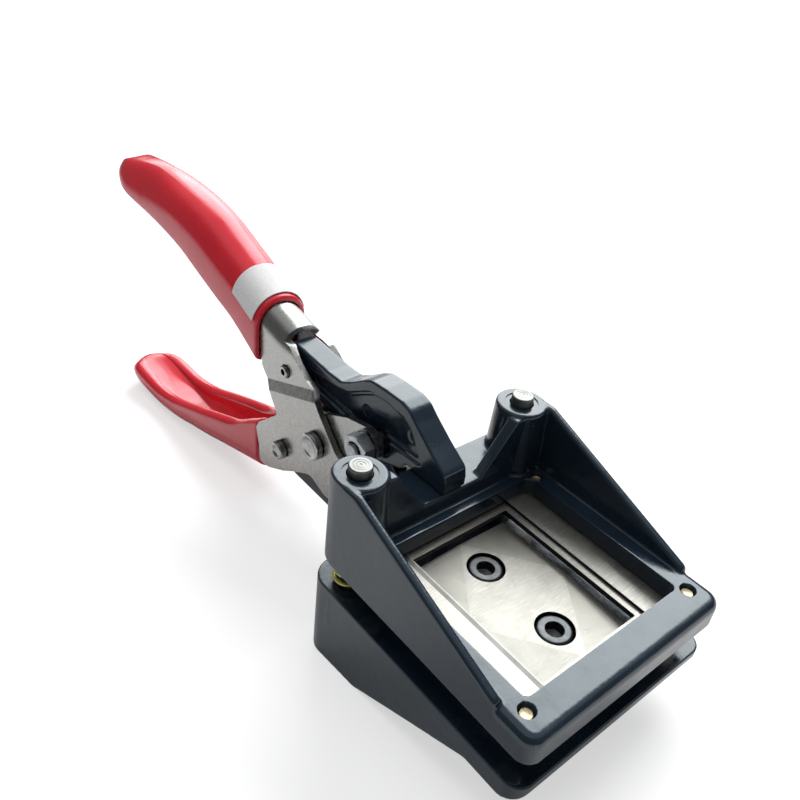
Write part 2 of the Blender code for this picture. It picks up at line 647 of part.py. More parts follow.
# Lower frame: a plate on wedge-shaped skirts, with a tail back to the grips
def make_lower_frame():
    depth = LOWER_REAR_Y - FRAME_FRONT_Y
    profile = []
    for u, v, share in SKIRT_PROFILE_SHARES:
        y = FRAME_FRONT_Y + u * depth
        table_z = SKIRT_FOOT_Z + (SKIRT_FOOT_Y - y) * REST_SLOPE
        profile.append((y, max(LOWER_TOP_Z + v * SKIRT_DEPTH, table_z), share))
    side = rounded(profile, TAIL_ROUND)
    body = outline("lower_frame", side, -FRAME_X, FRAME_X, 'X')
    corners = plan(FRAME_X, FRAME_FRONT_Y, LOWER_REAR_Y, LOWER_FRONT_ROUND, LOWER_REAR_ROUND)
    trim(body, outline("lower_plan", corners, SKIRT_FOOT_Z - OVERRUN, LOWER_TOP_Z + OVERRUN, 'Z'))
    settle_edges(body, LOWER_EDGE_ROUND)
    hollow_front = FRAME_FRONT_Y + HOLLOW_FRONT_SHARE * depth
    inside = plan(
        FRAME_X - SKIRT_THICK, hollow_front, LOWER_REAR_Y - SKIRT_THICK,
        LOWER_EDGE_ROUND, LOWER_REAR_ROUND - SKIRT_THICK / 2,
    )
    cut(body, outline("underside_hollow", inside, SKIRT_FOOT_Z - OVERRUN, PLATE_FOOT_Z, 'Z'))
    root = PLATE_FOOT_Z - LOWER_PLATE_THICK * 0.5
    tail = around_main(TAIL_OUTLINE_SHARES, MAIN_Y - LOWER_REAR_Y, STOP_BACK, ROLL_PIN_RISE, STOP_DROP)
    plate_mid = LOWER_TOP_Z - LOWER_PLATE_THICK / 4
    tail.append((LOWER_REAR_Y - SKIRT_THICK, plate_mid, 0.0))
    tail.append((PHOTO_HALF_Y - SKIRT_THICK, plate_mid, 0.0))
    tail.append((PHOTO_HALF_Y - SKIRT_THICK, root, 1.0))
    tail.append((LOWER_REAR_Y - SKIRT_THICK, tail[0][1], 1.0))
    join(body, outline("tail", rounded(tail, TAIL_ROUND), -TAIL_HALF, TAIL_HALF, 'X'))
    for side_name, x in (("left", -POST_X), ("right", POST_X)):
        low = LOWER_TOP_Z - POST_ROOT
        top = LOWER_TOP_Z - LOWER_PLATE_THICK / 2
        join(body, cylinder("post_boss_" + side_name, POST_BOSS_RADIUS, low, top, 'Z', (x, POST_Y, 0), PIN_STEPS))
        bore = cylinder(
            "post_hole_" + side_name, POST_RADIUS + GAP, low - OVERRUN, LOWER_TOP_Z + OVERRUN,
            'Z', (x, POST_Y, 0), PIN_STEPS,
        )
        cut(body, bore)
    for end_name, y in (("front", -PUNCH_SCREW_SPACING / 2), ("rear", PUNCH_SCREW_SPACING / 2)):
        bore = cylinder(
            "punch_screw_hole_" + end_name, PUNCH_SHANK_RADIUS + GAP, PLATE_FOOT_Z - OVERRUN,
            LOWER_TOP_Z + OVERRUN, 'Z', (0, y, 0), SMALL_STEPS,
        )
        cut(body, bore)
    reach = TAIL_HALF + OVERRUN
    for pin_name, radius, y, z in (
        ("main_pin_hole", MAIN_PIN_RADIUS, MAIN_Y, MAIN_Z),
        ("stop_rivet_hole", STOP_RADIUS, STOP_Y, STOP_Z),
        ("frame_rivet_hole", STOP_RADIUS, FRAME_RIVET_Y, FRAME_RIVET_Z),
    ):
        cut(body, cylinder(pin_name, radius + PIN_PLAY, -reach, reach, 'X', (0, y, z), PIN_STEPS))
    keep(body, ENAMEL)


def settle_edges(item, width, segments=2):
    """Round all the sharp edges that a shape has so far."""
    bevel(item, width, segments)


# Upper frame: a ring with a window, two walls, two bosses and a rear deck
def make_upper_frame():
    corners = plan(FRAME_X, FRAME_FRONT_Y, FRAME_REAR_Y, FRONT_ROUND, REAR_ROUND)
    body = outline("upper_frame", corners, FRAME_FOOT_Z, TOP_Z, 'Z')
    top_edges(body, DECK_EDGE_ROUND)
    tall = outline("upper_plan", corners, FRAME_FOOT_Z - OVERRUN, BOSS_HEIGHT + OVERRUN, 'Z')
    wall_front = POST_Y - WALL_FRONT_SHARE * (POST_Y - FRAME_FRONT_Y)
    boss_front = POST_Y - BOSS_TOP_RADIUS * 0.95
    base = FRAME_FOOT_Z + DIE_THICK / 2
    wall = rounded((
        (wall_front, base, 0.0), (wall_front + WALL_EDGE_ROUND, WALL_FOOT_RISE, 1.0),
        (boss_front, BOSS_HEIGHT, 1.0), (POST_Y, BOSS_HEIGHT, 0.0), (POST_Y, base, 0.0),
    ), WALL_EDGE_ROUND * 2)
    upper = None
    for side_name, sign in (("left", -1), ("right", 1)):
        outer = sign * FRAME_X
        inner = sign * (FRAME_X - WALL_THICK)
        panel = outline("wall_" + side_name, wall, min(outer, inner), max(outer, inner), 'X')
        bevel(panel, WALL_EDGE_ROUND)
        boss = cylinder(
            "boss_" + side_name, BOSS_FOOT_RADIUS, FRAME_FOOT_Z / 2, BOSS_HEIGHT, 'Z',
            (sign * POST_X, POST_Y, 0), ROUND_STEPS, BOSS_TOP_RADIUS,
        )
        bevel(boss, BOSS_EDGE_ROUND)
        foot = FRAME_FOOT_Z / 2
        notch_top = sign * NOTCH_TOP_HALF
        shoulder = BOSS_HEIGHT - BOSS_EDGE_ROUND
        gusset = rounded((
            (sign * POST_X, foot, 0.0), (sign * POST_X, shoulder, 0.0), (notch_top, shoulder, 0.0),
            (sign * NOTCH_HALF, NOTCH_Z, 0.0), (sign * NOTCH_HALF, foot, 0.0),
        ), WALL_EDGE_ROUND)
        web = outline("gusset_" + side_name, gusset, -BULKHEAD_Y - BULKHEAD_THICK, -BULKHEAD_Y, 'Y')
        bevel(web, WALL_EDGE_ROUND / 2)
        join(body, panel, boss, web)
    rear = box(
        "rear_deck", (-POST_X, BULKHEAD_Y, FRAME_FOOT_Z / 2), (POST_X, FRAME_REAR_Y, NOTCH_Z),
    )
    bevel(rear, WALL_EDGE_ROUND)
    join(body, rear)
    trim(body, tall)
    window = plan(WINDOW_X, WINDOW_FRONT_Y, WINDOW_REAR_Y, WINDOW_ROUND, WINDOW_REAR_ROUND)
    cut(body, outline("window", window, FRAME_FOOT_Z - OVERRUN, TOP_Z + OVERRUN, 'Z'))
    bed = plan(DIE_X + GAP, DIE_FRONT_Y - GAP, DIE_REAR_Y + GAP, WINDOW_ROUND, WINDOW_ROUND)
    cut(body, outline("die_bed", bed, FRAME_FOOT_Z - OVERRUN, DIE_TOP_Z, 'Z'))
    for side_name, x in (("left", -POST_X), ("right", POST_X)):
        place = (x, POST_Y, 0)
        through = BOSS_HEIGHT + OVERRUN
        below = FRAME_FOOT_Z - OVERRUN
        ring_radius = POST_RADIUS + GAP + SEAT_RING_WIDTH
        ring_z = BOSS_HEIGHT - SEAT_RING_DEPTH
        cut(body, cylinder("post_bore_" + side_name, POST_RADIUS + GAP, below, through, 'Z', place, PIN_STEPS))
        cut(body, cylinder("spring_bore_" + side_name, SPRING_BORE_RADIUS, below, BORE_TOP_Z, 'Z', place, PIN_STEPS))
        cut(body, cylinder("seat_ring_" + side_name, ring_radius, ring_z, through, 'Z', place, PIN_STEPS))
    for place_name, x, y in die_screw_places():
        hole = DIE_SCREW_RADIUS + GAP
        bore = cylinder("die_screw_hole_" + place_name, hole, DIE_TOP_Z - OVERRUN, TOP_Z + OVERRUN, 'Z', (x, y, 0), SMALL_STEPS)
        cut(body, bore)
        if y > 0:
            continue
        mouth = cylinder(
            "die_screw_mouth_" + place_name, hole - DIE_HOLE_CHAMFER, -DIE_HOLE_CHAMFER * 2, DIE_HOLE_CHAMFER,
            'Z', (x, y, 0), SMALL_STEPS, hole + DIE_HOLE_CHAMFER * 2,
        )
        cut(body, mouth)
    keep(body, ENAMEL, SLIDE_PIVOT)


def top_edges(item, width):
    """Round only the upper outer edges of an extruded plan."""
    bm = bmesh.new()
    bm.from_mesh(item.data)
    high = max(vert.co.z for vert in bm.verts)
    edges = [edge for edge in bm.edges if all(abs(vert.co.z - high) < WELD for vert in edge.verts)]
    bmesh.ops.bevel(bm, geom=edges, offset=width, offset_type='OFFSET', segments=3, profile=0.5, affect='EDGES')
    bmesh.ops.recalc_face_normals(bm, faces=bm.faces)
    bm.to_mesh(item.data)
    bm.free()


def die_screw_places():
    return (
        ("front_left", -DIE_SCREW_X, DIE_SCREW_FRONT_Y), ("front_right", DIE_SCREW_X, DIE_SCREW_FRONT_Y),
        ("rear_left", -DIE_SCREW_X, DIE_SCREW_REAR_Y), ("rear_right", DIE_SCREW_X, DIE_SCREW_REAR_Y),
    )


# Die plate: a sunk bed, a raised land and the cut-out
def make_die():
    corners = plan(DIE_X, DIE_FRONT_Y, DIE_REAR_Y, WINDOW_ROUND, WINDOW_ROUND)
    body = outline("die_plate", corners, FRAME_FOOT_Z, DIE_TOP_Z - GAP, 'Z')
    open_x = PHOTO_HALF_X + GAP / 2
    open_y = PHOTO_HALF_Y + GAP / 2
    land_z = DIE_TOP_Z - LAND_STEP
    cut(body, box(
        "land_step", (-open_x - LAND_WIDTH, -open_y - LAND_WIDTH, land_z),
        (open_x + LAND_WIDTH, open_y + LAND_WIDTH, TOP_Z + OVERRUN),
    ))
    cut(body, box(
        "cut_out", (-open_x, -open_y, FRAME_FOOT_Z - OVERRUN), (open_x, open_y, TOP_Z + OVERRUN),
    ))
    for place_name, x, y in die_screw_places():
        hole = DIE_SCREW_RADIUS + GAP
        cut(body, cylinder(
            "die_plate_hole_" + place_name, hole, FRAME_FOOT_Z - OVERRUN, TOP_Z, 'Z', (x, y, 0), SMALL_STEPS,
        ))
    keep(body, GROUND, SLIDE_PIVOT)


def make_die_screws():
    for place_name, x, y in die_screw_places():
        tip = TOP_Z - DIE_SCREW_SINK
        under = FRAME_FOOT_Z - GAP
        foot = under - DIE_HEAD_HEIGHT
        profile = (
            (0, tip), (DIE_SCREW_RADIUS - HEAD_CHAMFER, tip), (DIE_SCREW_RADIUS, tip - HEAD_CHAMFER),
            (DIE_SCREW_RADIUS, under), (DIE_HEAD_RADIUS, under), (DIE_HEAD_RADIUS, foot + HEAD_CHAMFER),
            (DIE_HEAD_RADIUS - HEAD_CHAMFER, foot), (0, foot),
        )
        screw = turned("die_screw_" + place_name, profile, 'Z', (x, y, 0), SMALL_STEPS)
        reach = DIE_HEAD_RADIUS + OVERRUN
        slot = box(
            "die_screw_slot_" + place_name,
            (x - reach, y - DIE_DRIVE_WIDTH / 2, foot - OVERRUN), (x + reach, y + DIE_DRIVE_WIDTH / 2, foot + DIE_DRIVE_DEPTH),
        )
        cut(screw, slot)
        keep(screw, BRASS, SLIDE_PIVOT)


# Punch: a block whose corners fall away from a flat diamond
def make_punch():
    x = PHOTO_HALF_X - GAP / 2
    y = PHOTO_HALF_Y - GAP / 2
    foot = LOWER_TOP_Z + GAP
    body = box("punch", (-x, -y, foot), (x, y, PUNCH_TOP_Z))
    bm = bmesh.new()
    bm.from_mesh(body.data)
    for sign_x in (-1, 1):
        for sign_y in (-1, 1):
            first = Vector((sign_x * x * PUNCH_EDGE_SHARE, 0, PUNCH_TOP_Z))
            second = Vector((0, sign_y * y * PUNCH_EDGE_SHARE, PUNCH_TOP_Z))
            third = Vector((sign_x * x, sign_y * y, PUNCH_TOP_Z - PUNCH_SHEAR))
            normal = (second - first).cross(third - first).normalized()
            if normal.z < 0:
                normal = -normal
            geometry = list(bm.verts) + list(bm.edges) + list(bm.faces)
            made = bmesh.ops.bisect_plane(
                bm, geom=geometry, dist=WELD, plane_co=first, plane_no=normal, clear_outer=True,
            )
            rim = [item for item in made['geom_cut'] if isinstance(item, bmesh.types.BMEdge)]
            bmesh.ops.edgeloop_fill(bm, edges=rim)
    bmesh.ops.recalc_face_normals(bm, faces=bm.faces)
    bm.to_mesh(body.data)
    bm.free()
    for end_name, place in (("front", -PUNCH_SCREW_SPACING / 2), ("rear", PUNCH_SCREW_SPACING / 2)):
        floor = PUNCH_TOP_Z - PUNCH_HEAD_SINK - PUNCH_HEAD_HEIGHT - GAP
        cut(body, cylinder(
            "counterbore_" + end_name, PUNCH_COUNTERBORE_RADIUS, floor, PUNCH_TOP_Z + OVERRUN,
            'Z', (0, place, 0), PIN_STEPS,
        ))
        cut(body, cylinder(
            "punch_hole_" + end_name, PUNCH_SHANK_RADIUS + GAP, foot - OVERRUN, PUNCH_TOP_Z,
            'Z', (0, place, 0), SMALL_STEPS,
        ))
    keep(body, GROUND)


def make_punch_screws():
    top = PUNCH_TOP_Z - PUNCH_HEAD_SINK
    under = top - PUNCH_HEAD_HEIGHT
    foot = PLATE_FOOT_Z - GAP
    for end_name, y in (("front", -PUNCH_SCREW_SPACING / 2), ("rear", PUNCH_SCREW_SPACING / 2)):
        profile = (
            (0, top), (PUNCH_HEAD_RADIUS - HEAD_CHAMFER, top), (PUNCH_HEAD_RADIUS, top - HEAD_CHAMFER),
            (PUNCH_HEAD_RADIUS, under), (PUNCH_SHANK_RADIUS, under), (PUNCH_SHANK_RADIUS, foot + HEAD_CHAMFER),
            (PUNCH_SHANK_RADIUS - HEAD_CHAMFER, foot), (0, foot),
        )
        screw = turned("punch_screw_" + end_name, profile, 'Z', (0, y, 0), PIN_STEPS)
        corner = PUNCH_HEX_ACROSS / 2 / math.cos(math.pi / 6)
        cut(screw, cylinder(
            "punch_hex_" + end_name, corner, top - PUNCH_HEX_DEPTH, top + OVERRUN, 'Z', (0, y, 0), 6,
        ))
        keep(screw, BLACK_OXIDE)


def make_posts():
    foot = LOWER_TOP_Z - POST_ROOT
    for side_name, x in (("left", -POST_X), ("right", POST_X)):
        profile = (
            (0, POST_TOP_Z), (POST_RADIUS - POST_CHAMFER, POST_TOP_Z), (POST_RADIUS, POST_TOP_Z - POST_CHAMFER),
            (POST_RADIUS, foot + POST_CHAMFER), (POST_RADIUS - POST_CHAMFER, foot), (0, foot),
        )
        post = turned("guide_post_" + side_name, profile, 'Z', (x, POST_Y, 0), PIN_STEPS)
        keep(post, BRIGHT)


def make_springs():
    """One unbroken helix round each post, from the lower frame up into the boss."""
    low = LOWER_TOP_Z + GAP + SPRING_WIRE / 2
    high = BORE_TOP_Z - GAP - SPRING_WIRE / 2
    turns = (high - low) / SPRING_PITCH
    count = round(turns * POINTS_A_CURL)
    for side_name, x in (("left", -POST_X), ("right", POST_X)):
        places = []
        for index in range(count + 1):
            part = index / count
            angle = 2 * math.pi * turns * part
            across = SPRING_MEAN_RADIUS * math.cos(angle)
            along = SPRING_MEAN_RADIUS * math.sin(angle)
            places.append(Vector((x + across, POST_Y + along, low + (high - low) * part)))
        if side_name == "left":
            least = min(
                (places[first] - places[second]).length
                for first in range(len(places))
                for second in range(first + POINTS_A_CURL // 2, len(places))
            )
            print("least gap of a return spring to itself, mm:", round((least - SPRING_WIRE) * 1000, 3))
        curve = bpy.data.curves.new("return_spring_" + side_name, 'CURVE')
        curve.dimensions = '3D'
        curve.bevel_depth = SPRING_WIRE / 2
        curve.bevel_resolution = 1
        curve.use_fill_caps = True
        spline = curve.splines.new('POLY')
        spline.points.add(len(places) - 1)
        for slot, place in zip(spline.points, places):
            slot.co = (*place, 1)
        tube = bpy.data.objects.new("return_spring_tube_" + side_name, curve)
        bpy.context.scene.collection.objects.link(tube)
        bpy.context.view_layer.update()
        graph = bpy.context.evaluated_depsgraph_get()
        mesh = bpy.data.meshes.new_from_object(tube.evaluated_get(graph))
        bpy.data.objects.remove(tube, do_unlink=True)
        bm = bmesh.new()
        bm.from_mesh(mesh)
        bmesh.ops.remove_doubles(bm, verts=bm.verts, dist=WELD)
        keep(from_bmesh("return_spring_" + side_name, bm), YELLOW_ZINC)


# Sections of the handles: a folded sheet seen from the front
def arch(mid_half, crown, foot, bend, reach, up):
    """Points on one side of the sheet's middle line, from the right foot to the left one."""
    x = mid_half + reach
    radius = max(bend + reach, WELD)
    top = crown + up * reach
    points = [(x, foot)]
    for step in range(BEND_STEPS + 1):
        angle = math.pi / 2 * step / BEND_STEPS
        points.append((x - radius + radius * math.cos(angle), top - up * (radius - radius * math.sin(angle))))
    for step in range(BEND_STEPS + 1):
        angle = math.pi / 2 * (1 - step / BEND_STEPS)
        points.append((-(x - radius + radius * math.cos(angle)), top - up * (radius - radius * math.sin(angle))))
    points.append((-x, foot))
    return points


def u_section(mid_half, crown, foot, bend, half, up, closing=0.0, lip=True):
    """A closed ring: outer side, one lip, inner side, other lip."""
    outer = arch(mid_half, crown, foot, bend, half, up)
    inner = list(reversed(arch(mid_half, crown, foot, bend, -half, up)))
    level = foot - up * half
    left = []
    right = []
    for step in range(1, LIP_STEPS):
        angle = math.pi * step / LIP_STEPS
        drop = foot - up * half * math.sin(angle) if lip else foot
        left.append((-mid_half - half * math.cos(angle), drop))
        right.append((mid_half - half * math.cos(angle), drop))
    flat = lambda point: (point[0], point[1] + (level - point[1]) * closing)
    middle = LIP_STEPS // 2
    left = left[:middle] + [flat(point) for point in left[middle:]]
    right = [flat(point) for point in right[:middle - 1]] + right[middle - 1:]
    return outer + left + [flat(point) for point in inner] + right


def upper_line(share):
    """Crown and foot of the upper sheet's middle line, and its half width."""
    crown = UPPER_GRIP_RISE * read_line(UPPER_CREST_SHARES, share) - GRIP_HALF
    foot = UPPER_GRIP_RISE * read_line(UPPER_RIM_SHARES, share) + GRIP_HALF
    return crown, foot, UPPER_MID_HALF * read_line(UPPER_WIDTH_SHARES, share)


def lower_line(share):
    crown = MAIN_Z + LOWER_GRIP_DROP * read_line(LOWER_FLOOR_SHARES, share) + GRIP_HALF
    foot = MAIN_Z + LOWER_GRIP_DROP * read_line(LOWER_RIM_SHARES, share) - GRIP_HALF
    return crown, foot, LOWER_MID_HALF * read_line(LOWER_WIDTH_SHARES, share)


def bend_radius(mid_half, crown, foot):
    return min(abs(crown - foot) * SHEET_BEND_SHARE, mid_half * SHEET_BEND_SHARE)


def ring_at(line, length, share, half, up, closing=0.0, scale=1.0):
    crown, foot, mid_half = line(share)
    section = u_section(mid_half, crown, foot, bend_radius(mid_half, crown, foot), half, up, closing)
    centre = (crown + foot) / 2
    y = GRIP_Y + share * length
    return [Vector((x * scale, y, centre + (z - centre) * scale)) for x, z in section]


def make_grip(name, line, length, up, pivot):
    """Dipped skin: the pocket for the steel, the front end and the outer skin with a closed tip."""
    rings = []
    pocket_end = STEEL_END_SHARE + GAP / length
    pocket_shares = [share for share in GRIP_STATION_SHARES if share < STEEL_END_SHARE] + [pocket_end]
    for share in reversed(pocket_shares):
        rings.append(ring_at(line, length, share, POCKET_HALF, up))
    front = ring_at(line, length, 0.0, GRIP_HALF - GRIP_FRONT_ROUND, up)
    rings.append(front)
    for share in GRIP_STATION_SHARES:
        here = max(share, GRIP_FRONT_ROUND / length)
        closing = min(1.0, max(0.0, (share - TROUGH_CLOSE_SHARE) / (TIP_START_SHARE - TROUGH_CLOSE_SHARE)))
        rings.append(ring_at(line, length, here, GRIP_HALF, up, closing))
    for part in TIP_STATION_SHARES:
        share = TIP_START_SHARE + (1.0 - TIP_START_SHARE) * part
        rings.append(ring_at(line, length, share, GRIP_HALF, up, 1.0, math.sqrt(1.0 - part ** 2)))
    keep(loft(name, rings), VINYL, pivot, 50.0)


def sheet_blank(name, line, length, up, start, deep):
    """The folded sheet before its sides are cut to their outline."""
    rings = []
    shares = [start, -0.09] + [share for share in GRIP_STATION_SHARES if share < STEEL_END_SHARE]
    shares.append(STEEL_END_SHARE)
    for share in shares:
        crown, foot, mid_half = line(share)
        bend = bend_radius(mid_half, crown, foot if share >= 0 else deep)
        section = u_section(mid_half, crown, deep, bend, STEEL_HALF, up, 0.0, False)
        rings.append([Vector((x, GRIP_Y + share * length, z)) for x, z in section])
    return loft(name, rings)


def make_upper_channel():
    corners = around_main(CHEEK_OUTLINE_SHARES, CHEEK_AHEAD, ROLL_PIN_BACK, ROLL_PIN_RISE, STOP_DROP)
    points = rounded(corners, CHEEK_ROUND)
    for share in (0.0, *GRIP_STATION_SHARES[1:]):
        if share < STEEL_END_SHARE:
            points.append(Vector((GRIP_Y + share * UPPER_GRIP_LENGTH, upper_line(share)[1])))
    end = GRIP_Y + STEEL_END_SHARE * UPPER_GRIP_LENGTH
    above = UPPER_GRIP_RISE + OVERRUN
    points.append(Vector((end + OVERRUN, upper_line(STEEL_END_SHARE)[1])))
    points.append(Vector((end + OVERRUN, above)))
    points.append(Vector((corners[0][0] + GAP, above)))
    deep = STOP_Z - STOP_DROP - OVERRUN * 3
    start = -(GRIP_Y - MAIN_Y + CHEEK_AHEAD + OVERRUN) / UPPER_GRIP_LENGTH
    body = sheet_blank("upper_handle_channel", upper_line, UPPER_GRIP_LENGTH, 1, start, deep)
    reach = CHEEK_OUTER_HALF + OVERRUN
    trim(body, outline("upper_handle_outline", points, -reach, reach, 'X'))
    settle(body)
    first, second = around_main(
        [(u, v, 0) for u, v in JOGGLE_LINE_SHARES], CHEEK_AHEAD, ROLL_PIN_BACK, ROLL_PIN_RISE, STOP_DROP,
    )
    start_point = Vector((0, first[0], first[1]))
    along = (Vector((0, second[0], second[1])) - start_point).normalized()
    down = Vector((0, along.z, -along.y))
    if down.z > 0:
        down = -down
    bm = bmesh.new()
    bm.from_mesh(body.data)
    for distance in (0.0, JOGGLE_RUN):
        geometry = list(bm.verts) + list(bm.edges) + list(bm.faces)
        bmesh.ops.bisect_plane(bm, geom=geometry, dist=WELD, plane_co=start_point + down * distance, plane_no=down)
    for vert in bm.verts:
        depth = (vert.co - start_point).dot(down)
        part = min(1.0, max(0.0, depth / JOGGLE_RUN))
        vert.co.x += math.copysign(JOGGLE * part, vert.co.x)
    bmesh.ops.recalc_face_normals(bm, faces=bm.faces)
    bm.to_mesh(body.data)
    bm.free()
    for pin_name, radius, y, z in (
        ("cheek_main_hole", MAIN_PIN_RADIUS, MAIN_Y, MAIN_Z),
        ("cheek_stop_hole", STOP_RADIUS, STOP_Y, STOP_Z),
        ("cheek_roll_hole", ROLL_PIN_RADIUS, ROLL_Y, ROLL_Z),
        ("cheek_frame_hole", STOP_RADIUS, FRAME_RIVET_Y, FRAME_RIVET_Z),
    ):
        cut(body, cylinder(pin_name, radius + PIN_PLAY, -reach, reach, 'X', (0, y, z), PIN_STEPS))
    keep(body, SHEET_STEEL)


def arc_slot(name, half_width, start, end, reach):
    """A slot round the main pin for the stop rivet, from one angle to another."""
    radius = math.hypot(STOP_BACK, STOP_DROP)
    points = []
    for step in range(BEND_STEPS + 1):
        angle = start + (end - start) * step / BEND_STEPS
        points.append((radius + half_width, angle))
    outer = [Vector((MAIN_Y + r * math.cos(a), MAIN_Z + r * math.sin(a))) for r, a in points]
    inner = [Vector((MAIN_Y + (radius - half_width) * math.cos(a), MAIN_Z + (radius - half_width) * math.sin(a)))
             for _, a in reversed(points)]
    ends = []
    for angle, sweep in ((end, 1), (start, -1)):
        centre = Vector((MAIN_Y + radius * math.cos(angle), MAIN_Z + radius * math.sin(angle)))
        cap = []
        for step in range(1, BEND_STEPS * 2):
            turn = math.pi * step / (BEND_STEPS * 2)
            direction = angle + (turn if end > start else -turn) if sweep > 0 else angle + math.pi + (turn if end > start else -turn)
            cap.append(centre + Vector((math.cos(direction), math.sin(direction))) * half_width)
        ends.append(cap)
    return outline(name, outer + ends[0] + inner + ends[1], -reach, reach, 'X')


def make_lower_channel():
    top = around_main(FLANGE_TOP_SHARES, BOLT_AHEAD, STOP_BACK, BOLT_RISE, STOP_DROP)
    foot = around_main(FLANGE_FOOT_SHARES, BOLT_AHEAD, STOP_BACK, BOLT_RISE, STOP_DROP)
    points = rounded(foot + top, CHEEK_ROUND)
    split = len(points)
    for share in (0.0, *GRIP_STATION_SHARES[1:]):
        if share < STEEL_END_SHARE:
            points.append(Vector((GRIP_Y + share * LOWER_GRIP_LENGTH, lower_line(share)[1])))
    end = GRIP_Y + STEEL_END_SHARE * LOWER_GRIP_LENGTH + OVERRUN
    below = MAIN_Z - LOWER_GRIP_DROP - OVERRUN
    points.append(Vector((end, lower_line(STEEL_END_SHARE)[1])))
    points.append(Vector((end, below)))
    points.append(Vector((foot[0][0], below)))
    start = -(GRIP_Y - BOLT_Y + HEX_ACROSS) / LOWER_GRIP_LENGTH
    body = sheet_blank("lower_handle_channel", lower_line, LOWER_GRIP_LENGTH, -1, start, BOLT_Z + HEX_ACROSS)
    reach = CHEEK_OUTER_HALF + OVERRUN
    trim(body, outline("lower_handle_outline", points, -reach, reach, 'X'))
    for pin_name, radius, y, z in (
        ("flange_main_hole", MAIN_PIN_RADIUS, MAIN_Y, MAIN_Z),
        ("flange_bolt_hole", BOLT_RADIUS, BOLT_Y, BOLT_Z),
    ):
        cut(body, cylinder(pin_name, radius + PIN_PLAY, -reach, reach, 'X', (0, y, z), PIN_STEPS))
    rest = math.atan2(-STOP_DROP, STOP_BACK)
    cut(body, arc_slot("stop_slot", STOP_RADIUS + PIN_PLAY, rest, rest - HANDLE_TURN, reach))
    keep(body, SHEET_STEEL, HANDLE_PIVOT)


# Press arm: an I-shaped bar from the roll pin to the notch of the upper frame
def arm_place(corners):
    return [(ARM_TOE_Y + u * ARM_SPAN, ROLL_Z + v * ARM_RISE, share) for u, v, share in corners]


def make_arm():
    toe = (ARM_TOE_Y, ARM_TOE_Z, 0.2)
    heel = (ARM_TOE_Y + ARM_TOE_SHARE * ARM_SPAN, ARM_TOE_Z, 0.4)
    points = rounded([toe] + arm_place(ARM_OUTLINE_SHARES) + [heel], ARM_ROUND)
    body = outline("press_arm", points, -ARM_HALF, ARM_HALF, 'X')
    bevel(body, ARM_EDGE_ROUND, 2, 60.0)
    pocket = rounded(arm_place(ARM_POCKET_SHARES), ARM_ROUND)
    for side_name, sign in (("left", -1), ("right", 1)):
        inner = sign * (ARM_HALF - ARM_POCKET)
        outer = sign * (ARM_HALF + OVERRUN)
        cut(body, outline("arm_pocket_" + side_name, pocket, min(inner, outer), max(inner, outer), 'X'))
    reach = ARM_HALF + OVERRUN
    cut(body, cylinder("arm_roll_hole", ROLL_PIN_RADIUS + PIN_PLAY, -reach, reach, 'X', (0, ROLL_Y, ROLL_Z), PIN_STEPS))
    half = BOLT_RADIUS + BOLT_SLOT_PLAY
    slot = []
    for step in range(BEND_STEPS * 2 + 1):
        angle = -math.pi / 2 + math.pi * step / (BEND_STEPS * 2)
        slot.append(Vector((BOLT_Y + half * math.cos(angle), BOLT_Z + half * math.sin(angle))))
    for step in range(BEND_STEPS * 2 + 1):
        angle = math.pi / 2 + math.pi * step / (BEND_STEPS * 2)
        slot.append(Vector((BOLT_Y - BOLT_SLIDE + half * math.cos(angle), BOLT_Z + half * math.sin(angle))))
    cut(body, outline("arm_bolt_slot", slot, -reach, reach, 'X'))
    keep(body, ENAMEL, ARM_PIVOT)
    for side_name, sign in (("left", -1), ("right", 1)):
        inner = sign * (ARM_HALF + GAP)
        outer = sign * (ARM_HALF + GAP + SPACER_THICK)
        ring = cylinder(
            "arm_spacer_" + side_name, SPACER_RADIUS, min(inner, outer), max(inner, outer), 'X',
            (0, ROLL_Y, ROLL_Z), PIN_STEPS,
        )
        cut(ring, cylinder(
            "spacer_hole_" + side_name, ROLL_PIN_RADIUS + PIN_PLAY, -reach, reach, 'X', (0, ROLL_Y, ROLL_Z), PIN_STEPS,
        ))
        keep(ring, ZINC)


def headed_pin(name, shank, head, proud, cheek, y, z, material, steps):
    """A pin with a head set on each end, each head hollowed a little."""
    seat = cheek + GAP
    end = cheek + proud
    cup = head * 0.62
    profile = (
        (0, end - CUP_DEPTH), (cup, end - CUP_DEPTH / 3), (head - HEAD_CHAMFER, end), (head, end - HEAD_CHAMFER),
        (head, seat), (shank, seat), (shank, -seat), (head, -seat), (head, -end + HEAD_CHAMFER),
        (head - HEAD_CHAMFER, -end), (cup, -end + CUP_DEPTH / 3), (0, -end + CUP_DEPTH),
    )
    keep(turned(name, profile, 'X', (0, y, z), steps), material)


